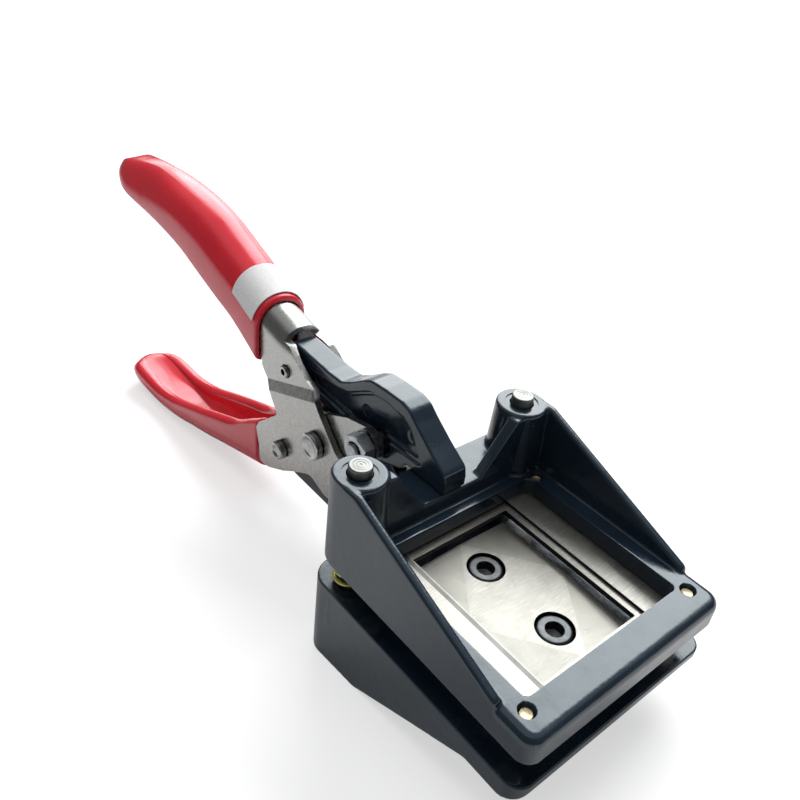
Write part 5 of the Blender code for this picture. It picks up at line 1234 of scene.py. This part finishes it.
def make_punch_screws():
    top = PUNCH_TOP_Z - PUNCH_HEAD_SINK
    under = top - PUNCH_HEAD_HEIGHT
    foot = PLATE_FOOT_Z - GAP
    floor = top - PUNCH_HEX_DEPTH
    corner = PUNCH_HEX_ACROSS / 2 / math.cos(math.pi / 6)
    shank = PUNCH_SHANK_RADIUS
    edge = PUNCH_HEAD_RADIUS * (1.0 - PUNCH_LAND_SHARE)
    profile = [(0, top)] + rim(PUNCH_HEAD_RADIUS, top, edge, PUNCH_HEAD_DROP)
    profile += [
        (PUNCH_HEAD_RADIUS, under), (shank, under), (shank, foot + HEAD_CHAMFER),
        (shank - HEAD_CHAMFER, foot), (0, foot),
    ]
    for end_name, y in PUNCH_SCREW_PLACES:
        centre = (0, y, 0)
        screw = turned("punch_screw_" + end_name, profile, 'Z', centre, PIN_STEPS)
        key = cylinder("hex", corner, floor, top + OVERRUN, 'Z', centre, 6)
        lead = cylinder(
            "hex_lead", corner * HEX_LEAD_SHARES[0], top - HEX_LEAD_DEPTH, top + HEAD_CHAMFER, 'Z', centre,
            PIN_STEPS, corner * HEX_LEAD_SHARES[1],
        )
        drill = cylinder(
            "hex_drill", WELD, floor - HEX_DRILL_DEPTH, floor + HEAD_CHAMFER / 4, 'Z', centre,
            SMALL_STEPS, corner * HEX_DRILL_SHARE,
        )
        cut(screw, key, lead, drill)
        keep(screw, BLACK_OXIDE)


# Guide posts, with a spring round each

def make_posts():
    foot = LOWER_TOP_Z - POST_ROOT
    profile = [(0.0, POST_TOP_Z - POST_MARK * 2)]
    for step in range(1, POST_MARKS + 1):
        radius = (POST_RADIUS - POST_CHAMFER * 1.5) * step / POST_MARKS
        profile.append((radius - POST_MARK / 2, POST_TOP_Z - POST_MARK if step % 2 else POST_TOP_Z))
        profile.append((radius, POST_TOP_Z))
    profile += rim(POST_RADIUS, POST_TOP_Z, POST_CHAMFER, POST_CHAMFER)
    profile += [(POST_RADIUS, foot + POST_CHAMFER), (POST_RADIUS - POST_CHAMFER, foot), (0.0, foot)]
    for side_name, sign in SIDES:
        keep(turned("guide_post_" + side_name, profile, 'Z', (sign * POST_X, POST_Y, 0), PIN_STEPS), BRIGHT)


def make_springs():
    """One unbroken helix round each post."""
    foot_z = LOWER_TOP_Z + GAP
    height = BORE_TOP_Z - GAP - foot_z
    rise = height - SPRING_WIRE
    turns = rise / SPRING_PITCH
    count = round(turns * POINTS_A_CURL)
    for side_name, sign in SIDES:
        places = []
        for part in spread(0.0, 1.0, count):
            place = polar(SPRING_MEAN_RADIUS, 2 * math.pi * turns * part) + Vector((sign * POST_X, POST_Y))
            places.append((*place, foot_z + SPRING_WIRE / 2 + rise * part))
        name = "return_spring_" + side_name
        curve = bpy.data.curves.new(name, 'CURVE')
        curve.dimensions = '3D'
        curve.bevel_depth = SPRING_WIRE / 2
        curve.bevel_resolution = 4
        curve.use_fill_caps = True
        piece = keep(from_bmesh(name, curve_mesh(name, curve, places)), YELLOW_ZINC)
        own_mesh(piece)


# Sections of the handles: a folded sheet seen from the front

def arch(mid_half, crown, foot, bend, reach, up):
    """Points on one side of the sheet's middle line, from the right foot to the left one."""
    x = mid_half + reach
    radius = max(bend + reach, WELD)
    top = crown + up * reach
    right = [(x, foot)]
    for angle in quarter(BEND_STEPS):
        right.append((x - radius + radius * math.cos(angle), top - up * (radius - radius * math.sin(angle))))
    return right + [(-across, z) for across, z in reversed(right)]


def u_section(mid_half, crown, foot, bend, half, up, closing=0.0, lip=True):
    """A closed ring: outer side, one lip, inner side, other lip."""
    outer = arch(mid_half, crown, foot, bend, half, up)
    inner = list(reversed(arch(mid_half, crown, foot, bend, -half, up)))
    level = foot - up * half
    left = []
    right = []
    for angle in spread(0.0, math.pi, LIP_STEPS)[1:-1]:
        drop = foot - up * half * math.sin(angle) if lip else foot
        left.append((-mid_half - half * math.cos(angle), drop))
        right.append((mid_half - half * math.cos(angle), drop))
    middle = LIP_STEPS // 2
    flat = lambda points: [(x, z + (level - z) * closing) for x, z in points]
    left = left[:middle] + flat(left[middle:])
    right = flat(right[:middle - 1]) + right[middle - 1:]
    return outer + left + bowl(inner, level, closing) + right


def bowl(inner, level, closing):
    """Turn the trough between the rims into a shallow dish as it closes."""
    if closing <= 0.0:
        return inner
    share = eased(closing * BOWL_HASTE, 0.0, 1.0)
    half = max(x for x, z in inner)
    rim_z = inner[0][1]
    depth = inner[len(inner) // 2][1] - rim_z
    dished = []
    for (x, z), side in zip(inner, spread(1.0, -1.0, len(inner) - 1)):
        side = math.copysign(side, inner[0][0] * side)
        mixed_x = x + (half * side - x) * share
        mixed_z = z + (rim_z + depth * (1.0 - side ** 2) - z) * share
        dished.append((mixed_x, level + (mixed_z - level) * (1.0 - closing)))
    return dished


def upper_line(share):
    """Crown and foot of the upper sheet's middle line, and its half width."""
    crown = UPPER_GRIP_RISE * read_line(UPPER_CREST_SHARES, share) - GRIP_HALF
    foot = UPPER_GRIP_RISE * read_line(UPPER_RIM_SHARES, share) + GRIP_HALF
    return crown, foot, UPPER_MID_HALF * read_line(UPPER_WIDTH_SHARES, share)


def lower_line(share):
    crown = MAIN_Z + LOWER_GRIP_DROP * read_line(LOWER_FLOOR_SHARES, share) + GRIP_HALF
    foot = MAIN_Z + LOWER_GRIP_DROP * read_line(LOWER_RIM_SHARES, share) - GRIP_HALF
    return crown, foot, LOWER_MID_HALF * read_line(LOWER_WIDTH_SHARES, share)


def bend_radius(mid_half, crown, foot):
    return min(abs(crown - foot), mid_half) * SHEET_BEND_SHARE


def narrowed(share, up, x):
    """The width that is left towards a grip's tip, which is round when seen from above."""
    start, power = TIP_ROUNDS[up][0 if x < 0 else 1]
    part = max(0.0, (share - start) / (1.0 - start))
    return math.sqrt(max(0.0, 1.0 - part ** power))


def domed(x, share, width, up):
    """How far the upper grip's section bows outward between its rims, towards the tip."""
    if up < 0:
        return 0.0
    return CROWN_BOW * eased(share, *CROWN_BOW_SHARES) * (CROWN_BOW_LIFT - (x / width) ** 2)


def sheet_blank(name, line, length, up, start, deep):
    """The folded sheet before its sides are cut to their outline."""
    rings = []
    shares = spread(start, 0.0, FINE_STATIONS // 2) + spread(0.0, STEEL_END_SHARE, FINE_STATIONS // 2)[1:]
    for share in shares:
        crown, foot, mid_half = line(share)
        bend = bend_radius(mid_half, crown, foot if share >= 0 else deep)
        ring = []
        for x, z in u_section(mid_half, crown, deep, bend, STEEL_HALF, up, 0.0, False):
            across = x * narrowed(share, up, x)
            lift = domed(across, share, mid_half + GRIP_HALF, up)
            ring.append(Vector((across, GRIP_Y + share * length, z + lift)))
        rings.append(ring)
    return loft(name, rings)


def grip_edge(line, length):
    """The edge of the steel inside a grip, and a point just behind its end."""
    points = []
    for share in spread(0.0, STEEL_END_SHARE, FINE_STATIONS // 2)[:-1]:
        points.append(Vector((GRIP_Y + share * length, line(share)[1])))
    end = GRIP_Y + STEEL_END_SHARE * length + OVERRUN
    return points + [Vector((end, line(STEEL_END_SHARE)[1]))]


def make_upper_channel():
    sides = (CHEEK_AHEAD, ROLL_PIN_BACK, ROLL_PIN_RISE, STOP_DROP)
    corners = around_main(CHEEK_OUTLINE_SHARES, *sides)
    points = rounded(corners, CHEEK_ROUND) + grip_edge(upper_line, UPPER_GRIP_LENGTH)
    above = UPPER_GRIP_RISE + OVERRUN
    points += [Vector((points[-1].x, above)), Vector((corners[0][0] + GAP, above))]
    deep = STOP_Z - STOP_DROP - OVERRUN * 3
    start = -(GRIP_Y - MAIN_Y + CHEEK_AHEAD + OVERRUN) / UPPER_GRIP_LENGTH
    body = sheet_blank("upper_handle_channel", upper_line, UPPER_GRIP_LENGTH, 1, start, deep)
    reach = CHEEK_OUTER_HALF + OVERRUN
    trim(body, outline("upper_handle_outline", points, -reach, reach, 'X'))
    bevel(body, SHEET_EDGE_ROUND, 2, 50.0)
    settle(body)
    line = around_main([(u, v, 0) for u, v in JOGGLE_LINE_SHARES], *sides)
    first, second = [Vector((0, y, z)) for y, z, _ in line]
    along = (second - first).normalized()
    down = Vector((0, along.z, -along.y))
    down = down * -math.copysign(1.0, down.z)
    with edited(body) as bm:
        for distance in (0.0, JOGGLE_RUN):
            sliced(bm, first + down * distance, down)
        for vert in bm.verts:
            part = min(1.0, max(0.0, (vert.co - first).dot(down) / JOGGLE_RUN))
            vert.co.x += math.copysign(JOGGLE * part, vert.co.x)
    for radius, y, z in (
        (MAIN_PIN_RADIUS, MAIN_Y, MAIN_Z), (STOP_RADIUS, STOP_Y, STOP_Z),
        (ROLL_PIN_RADIUS, ROLL_Y, ROLL_Z), (STOP_RADIUS, FRAME_RIVET_Y, FRAME_RIVET_Z),
    ):
        cut(body, pin_hole(radius, reach, y, z))
    keep(body, SHEET_STEEL, UPPER_HANDLE, 20.0)


def arc_slot(half_width, start, end, reach):
    """A slot round the main pin for the stop rivet, from one angle down to another."""
    main = Vector((MAIN_Y, MAIN_Z))
    middle = math.hypot(STOP_BACK, STOP_DROP)
    along = spread(start, end, BEND_STEPS)
    turns = spread(0.0, math.pi, BEND_STEPS * 2)[1:-1]
    points = [main + polar(middle + half_width, angle) for angle in along]
    points += [main + polar(middle, end) + polar(half_width, end - turn) for turn in turns]
    points += [main + polar(middle - half_width, angle) for angle in reversed(along)]
    points += [main + polar(middle, start) + polar(half_width, start + math.pi - turn) for turn in turns]
    return outline("stop_slot", points, -reach, reach, 'X')


def make_lower_channel():
    sides = (BOLT_AHEAD, STOP_BACK, BOLT_RISE, STOP_DROP)
    corners = around_main(FLANGE_FOOT_SHARES + FLANGE_TOP_SHARES, *sides)
    points = rounded(corners, CHEEK_ROUND) + grip_edge(lower_line, LOWER_GRIP_LENGTH)
    below = MAIN_Z - LOWER_GRIP_DROP - OVERRUN
    points += [Vector((points[-1].x, below)), Vector((corners[0][0], below))]
    start = -(GRIP_Y - BOLT_Y + HEX_ACROSS) / LOWER_GRIP_LENGTH
    body = sheet_blank("lower_handle_channel", lower_line, LOWER_GRIP_LENGTH, -1, start, BOLT_Z + HEX_ACROSS)
    reach = CHEEK_OUTER_HALF + OVERRUN
    trim(body, outline("lower_handle_outline", points, -reach, reach, 'X'))
    cut(body, pin_hole(MAIN_PIN_RADIUS, reach, MAIN_Y, MAIN_Z), pin_hole(BOLT_RADIUS, reach, BOLT_Y, BOLT_Z))
    rest = math.atan2(-STOP_DROP, STOP_BACK)
    cut(body, arc_slot(STOP_RADIUS + PIN_PLAY, rest, rest - HANDLE_TURN, reach))
    keep(body, SHEET_STEEL, LOWER_HANDLE)


# Grips: a dipped skin over the steel, and a strip of plain paper round the upper one

def ring_at(line, length, share, half, up, closing=0.0, flat=1.0):
    """One ring of a grip's skin: thinner, rounder and further back towards the tip."""
    crown, foot, mid_half = line(share)
    section = u_section(mid_half, crown, foot, bend_radius(mid_half, crown, foot), half, up, closing)
    centre = (crown + foot) / 2
    y = GRIP_Y + (share + TIP_REACH[up] * eased(share, TIP_REACH_START, 1.0)) * length
    width = mid_half + half
    thin = TIP_THIN * eased(share, STEEL_END_SHARE, 1.0)
    ring = []
    for x, z in section:
        left = flat * (1.0 - thin * (x / width) ** 2)
        across = x * narrowed(share, up, x)
        ring.append(Vector((across, y, centre + (z - centre) * left + domed(across, share, width, up))))
    return ring


def make_grip(name, line, length, up, body):
    """Dipped skin over the steel, with soft lips and a scoop that runs out before the tip."""
    rings = []
    for share in reversed(spread(0.0, STEEL_END_SHARE + GAP / length, FINE_STATIONS // 2)):
        rings.append(ring_at(line, length, share, POCKET_HALF, up))
    nose = GRIP_FRONT_ROUND * 2
    for angle in quarter(LIP_STEPS):
        along = nose * (1.0 - math.cos(angle))
        rings.append(ring_at(line, length, along / length, GRIP_HALF - nose * (1.0 - math.sin(angle)), up))
    stations = [(share, 1.0) for share in spread(nose / length, TIP_START_SHARE, FINE_STATIONS)[1:]]
    for angle in quarter(TIP_STEPS)[1:-1]:
        stations.append((TIP_START_SHARE + (1.0 - TIP_START_SHARE) * math.sin(angle), math.cos(angle)))
    for share, flat in stations:
        closing = eased(share, *SCOOP_END_SHARES[name])
        rings.append(ring_at(line, length, share, GRIP_HALF, up, closing, flat))
    keep(loft(name, rings), VINYL, body, 60.0)


def make_label():
    rings = []
    first = math.radians(LABEL_EDGE_ANGLE)
    for along in spread(LABEL_START, LABEL_START + LABEL_LENGTH, LIP_STEPS):
        crown, foot, mid_half = upper_line(along / UPPER_GRIP_LENGTH)
        bend = bend_radius(mid_half, crown, foot)
        ring = []
        for reach in (GRIP_HALF + GAP + LABEL_THICK, GRIP_HALF + GAP):
            right = []
            for angle in spread(first, math.pi / 2, BEND_STEPS):
                over = polar(bend + reach, angle)
                right.append((mid_half - bend + over.x, GRIP_Y + along, crown - bend + over.y))
            side = right + [(-x, y, z) for x, y, z in reversed(right)]
            ring += reversed(side) if ring else side
        rings.append(ring)
    keep(loft("size_label", rings), PAPER)


# Press arm: an I-shaped bar from the roll pin to the notch of the upper frame

def arm_place(corners):
    return [(ARM_TOE_Y + u * ARM_SPAN, ROLL_Z + v * ARM_RISE, share) for u, v, share in corners]


def inset(corners, index, distance):
    """A corner of a clockwise outline moved in from both of its sides."""
    here, before, after = neighbours(corners, index)
    before.normalize()
    after.normalize()
    way = Vector((-before.y, before.x)) + Vector((after.y, -after.x))
    way = way / max(way.length_squared / 2, 0.5)
    return (*(here + way * distance), corners[index][2])


def side_rings(name, radius, hole, near, thick, place, body):
    """A flat ring on each side of the tool, round a pin."""
    for side_name, sign in SIDES:
        far = sign * (near + thick)
        ring = cylinder(name + side_name, radius, sign * near, far, 'X', (0, *place), PIN_STEPS)
        cut(ring, pin_hole(hole, near + OVERRUN, *place))
        keep(ring, ZINC, body)


def make_arm():
    toe = (ARM_TOE_Y, ARM_TOE_Z, 0.2)
    heel = (ARM_TOE_Y + ARM_TOE_SHARE * ARM_SPAN, ARM_TOE_Z, 0.4)
    points = rounded([toe] + arm_place(ARM_OUTLINE_SHARES) + [heel], ARM_ROUND)
    body = outline("press_arm", points, -ARM_HALF, ARM_HALF, 'X')
    bevel(body, ARM_EDGE_ROUND, RIM_SEGMENTS, 60.0)
    pocket = arm_place(ARM_POCKET_SHARES)
    deep = [inset(pocket, index, ARM_STEP_IN) for index in range(len(pocket))]
    reach = ARM_HALF + OVERRUN
    for sign in (-1, 1):
        for corners, depth in ((pocket, ARM_POCKET / 2), (deep, ARM_POCKET)):
            shape = rounded(corners, ARM_ROUND)
            cut(body, outline("arm_pocket", shape, sign * (ARM_HALF - depth), sign * reach, 'X'))
    cut(body, pin_hole(ROLL_PIN_RADIUS, reach, ROLL_Y, ROLL_Z))
    slot = []
    for centre_y, start in ((BOLT_Y, -math.pi / 2), (BOLT_Y - BOLT_SLIDE, math.pi / 2)):
        for angle in spread(start, start + math.pi, BEND_STEPS * 2):
            slot.append(Vector((centre_y, BOLT_Z)) + polar(BOLT_RADIUS + BOLT_SLOT_PLAY, angle))
    cut(body, outline("arm_bolt_slot", slot, -reach, reach, 'X'))
    for sign in (-1, 1):
        floor = sign * (ARM_HALF - ARM_POCKET)
        low = floor - EJECTOR_DEPTH
        high = floor + EJECTOR_DEPTH
        for y, z, _ in arm_place([(u, v, 0) for u, v in EJECTOR_SHARES]):
            cut(body, cylinder("ejector", EJECTOR_RADIUS, low, high, 'X', (0, y, z), SMALL_STEPS))
    cast(body, ARM_VOXEL)
    keep(body, ENAMEL, PRESS_ARM, 60.0)
    seat = ARM_HALF + GAP
    place = (ROLL_Y, ROLL_Z)
    side_rings("arm_spacer_", SPACER_RADIUS, ROLL_PIN_RADIUS, seat, SPACER_THICK, place, UPPER_HANDLE)


# Pins and the link bolt

def headed_pin(name, shank, head, proud, y, z):
    """A pin with a head set on each end; each head is round at its rim and hollowed."""
    seat = CHEEK_OUTER_HALF + GAP
    end = CHEEK_OUTER_HALF + proud
    cup = head - PIN_CUP_INSET
    profile = [(cup * part, end - CUP_DEPTH * (1.0 - part ** 3)) for part in spread(0.0, 1.0, LIP_STEPS)]
    profile += rim(head, end, PIN_RIM_ROUND, PIN_RIM_ROUND) + [(head, seat), (shank, seat)]
    mirrored = [(radius, -height) for radius, height in reversed(profile)]
    keep(turned(name, profile + mirrored, 'X', (0, y, z), PIN_STEPS), PIN_STEEL)


def make_pins():
    for pin in (
        ("main_pivot_pin", MAIN_PIN_RADIUS, MAIN_HEAD_RADIUS, MAIN_HEAD_PROUD, MAIN_Y, MAIN_Z),
        ("stop_rivet", STOP_RADIUS, STOP_HEAD_RADIUS, STOP_HEAD_PROUD, STOP_Y, STOP_Z),
        ("frame_rivet", STOP_RADIUS, STOP_HEAD_RADIUS, ROLL_PIN_PROUD, FRAME_RIVET_Y, FRAME_RIVET_Z),
    ):
        headed_pin(*pin)
    centre = (0, ROLL_Y, ROLL_Z)
    end = UPPER_OUTER_HALF + ROLL_PIN_PROUD
    pin = cylinder("arm_roll_pin", ROLL_PIN_RADIUS, -end, end, 'X', centre, PIN_STEPS)
    bevel(pin, POST_CHAMFER / 2, 1, 60.0)
    cut(pin, cylinder("roll_pin_bore", ROLL_PIN_BORE, -end - OVERRUN, end + OVERRUN, 'X', centre, PIN_STEPS))
    keep(pin, PIN_STEEL)


def hexagon(name, low, high, sign):
    """A nut or a bolt head round the link bolt, with bevelled corners on the face that shows."""
    centre = (0, BOLT_Y, BOLT_Z)
    corner = HEX_ACROSS / 2 / math.cos(math.pi / 6)
    item = cylinder(name, corner, low, high, 'X', centre, 6)
    face, other = (high, low - OVERRUN) if sign > 0 else (low, high + OVERRUN)
    wide = corner + OVERRUN
    slope = face - sign * HEAD_CHAMFER
    ends = [(0, face), (HEX_ACROSS / 2 * HEX_FACE_SHARE, face), (corner, slope)]
    ends += [(wide, slope), (wide, other), (0, other)]
    trim(item, turned("hex_dome", ends[::sign], 'X', centre, PIN_STEPS))
    return item


def make_link():
    """The bolt that joins the lower handle to the arm, with its nut and washers."""
    centre = (0, BOLT_Y, BOLT_Z)
    seat = LOWER_OUTER_HALF + GAP
    side_rings("link_washer_", WASHER_RADIUS, BOLT_RADIUS, seat, WASHER_THICK, centre[1:], LOWER_HANDLE)
    face = seat + WASHER_THICK + GAP
    nut = hexagon("link_nut", -face - NUT_THICK, -face, -1)
    far = -face - NUT_THICK - OVERRUN
    cut(nut, cylinder("nut_hole", BOLT_RADIUS + PIN_PLAY, far, -face + OVERRUN, 'X', centre, PIN_STEPS))
    keep(nut, ZINC, LOWER_HANDLE)
    point = -face - NUT_THICK - BOLT_POINT
    bolt = cylinder("link_bolt", BOLT_RADIUS, point, face + BOLT_HEAD_THICK / 2, 'X', centre, PIN_STEPS)
    bevel(bolt, HEAD_CHAMFER, 1, 60.0)
    join(bolt, hexagon("bolt_head", face, face + BOLT_HEAD_THICK, 1))
    keep(bolt, ZINC, LOWER_HANDLE)


# Camera, floor and light
CAMERA_PLACE = (-0.11297, -0.07240, 0.13042)
CAMERA_BACK = (-0.56642, -0.59818, 0.56688)
CAMERA_AZIMUTH = math.radians(-43.44)
CAMERA_ROLL = math.radians(7.09)
CAMERA_LENS = 37.08
FLOOR_Z = (TOOL @ Vector((0, SKIRT_FOOT_Y, SKIRT_FOOT_Z))).z
FLOOR_HALF = 40.0
FLOOR_COLOUR = (0.70, 0.70, 0.70, 1.0)
FLOOR_SEEN_COLOUR = (0.45, 0.45, 0.45, 1.0)
FLOOR_GLOW = (0.20, 0.70, 0.58, 1.0)

# The sky that glossy surfaces mirror: dark, with patches that are soft at their rims.
# Each patch is (way, cosine where it fades out, cosine where it is full, strength).
SKY_COLOUR = (0.93, 0.96, 1.0, 1.0)
MIRROR_COLOUR = (0.97, 0.99, 1.0, 1.0)
WHITE = (1.0, 1.0, 1.0, 1.0)
SKY_FILL = 0.29
SKY_LEVEL = 0.14
SKY_PATCHES = (
    ((0.30, 0.20, 0.93), 0.60, 0.92, 0.6),
    ((0.62, 0.60, 0.50), 0.868, 0.888, 2.7),
    ((0.57, 0.59, 0.57), 0.950, 0.968, 5.8),
    ((0.68, 0.19, 0.70), 0.92, 0.988, 6.8),
)
LIGHT_TARGET = (0.0, 0.06, 0.0)
LIGHTS = (
    ("window_light", (0.76, 0.35, 0.90), 0.9, 0.7, 21.0),
    ("top_light", (-0.10, 0.10, 1.20), 0.8, 0.8, 6.0),
)


def make_camera():
    back = Vector(CAMERA_BACK).normalized()
    level = Vector((math.cos(CAMERA_AZIMUTH), math.sin(CAMERA_AZIMUTH), 0))
    upright = back.cross(level)
    right = math.cos(CAMERA_ROLL) * level + math.sin(CAMERA_ROLL) * upright
    above = -math.sin(CAMERA_ROLL) * level + math.cos(CAMERA_ROLL) * upright
    turn = Matrix((right, above, back)).transposed().to_4x4()
    data = bpy.data.cameras.new("camera")
    data.lens = CAMERA_LENS
    data.sensor_width = 36.0
    data.sensor_fit = 'HORIZONTAL'
    data.clip_start = 0.005
    camera = bpy.data.objects.new("camera", data)
    camera.matrix_world = TOOL @ Matrix.Translation(CAMERA_PLACE) @ turn
    bpy.context.scene.collection.objects.link(camera)
    bpy.context.scene.camera = camera


def make_floor():
    """A white floor: matt for every ray but the camera's, for which it also glows away from the tool."""
    floor = box("floor", (-FLOOR_HALF, -FLOOR_HALF, FLOOR_Z - OVERRUN), (FLOOR_HALF, FLOOR_HALF, FLOOR_Z))
    look = bpy.data.materials.new("floor_look")
    look.use_nodes = True
    paint = Graph(look.node_tree)
    paint.nodes.clear()
    matte = paint.add("BsdfDiffuse", Color=FLOOR_COLOUR)
    seen = paint.add("BsdfDiffuse", Color=FLOOR_SEEN_COLOUR)
    away = paint.sums('LENGTH', paint.add("TexCoord").outputs["Object"], kind="VectorMath")
    glow = paint.add("Emission", Strength=paint.stepped(away, *FLOOR_GLOW))
    both = paint.shaders("AddShader", seen, glow)
    choice = paint.shaders("MixShader", matte, both, paint.add("LightPath").outputs["Is Camera Ray"])
    paint.add("OutputMaterial", Surface=choice.outputs[0])
    floor.data.materials.append(look)
    bpy.context.scene.collection.objects.link(floor)


def make_world():
    world = bpy.data.worlds.new("studio")
    bpy.context.scene.world = world
    world.use_nodes = True
    sky = Graph(world.node_tree)
    sky.nodes.clear()
    place = sky.add("TexCoord").outputs["Generated"]
    level = SKY_LEVEL
    for way, fade, full, strength in SKY_PATCHES:
        near = sky.sums('DOT_PRODUCT', place, Vector(way).normalized(), kind="VectorMath")
        mixed = sky.add("Mix", Factor=sky.stepped(near, fade, full))
        sky.put(mixed, 2, level)
        sky.put(mixed, 3, strength)
        level = mixed.outputs[0]
    fill = sky.add("Background", Color=SKY_COLOUR, Strength=SKY_FILL)
    mirrored = sky.add("Background", Color=MIRROR_COLOUR, Strength=level)
    white = sky.add("Background", Color=WHITE, Strength=1.0)
    rays = sky.add("LightPath").outputs
    glossy = sky.shaders("MixShader", fill, mirrored, rays["Is Glossy Ray"])
    choice = sky.shaders("MixShader", glossy, white, rays["Is Camera Ray"])
    sky.add("OutputWorld", Surface=choice.outputs[0])


def make_lights():
    for name, place, width, height, watts in LIGHTS:
        data = bpy.data.lights.new(name, 'AREA')
        data.shape = 'RECTANGLE'
        data.size = width
        data.size_y = height
        data.energy = watts
        light = bpy.data.objects.new(name, data)
        light.location = place
        light.rotation_euler = (Vector(LIGHT_TARGET) - Vector(place)).to_track_quat('-Z', 'Y').to_euler()
        light.visible_glossy = False
        bpy.context.scene.collection.objects.link(light)


make_lower_frame()
make_upper_frame()
make_die()
make_die_screws()
make_punch()
make_punch_screws()
make_posts()
make_springs()
make_upper_channel()
make_grip("upper_grip", upper_line, UPPER_GRIP_LENGTH, 1, UPPER_HANDLE)
make_label()
make_lower_channel()
make_grip("lower_grip", lower_line, LOWER_GRIP_LENGTH, -1, LOWER_HANDLE)
make_arm()
make_pins()
make_link()
clear_guides()
make_camera()
make_floor()
make_world()
make_lights()
bpy.context.scene.view_settings.view_transform = 'Standard'
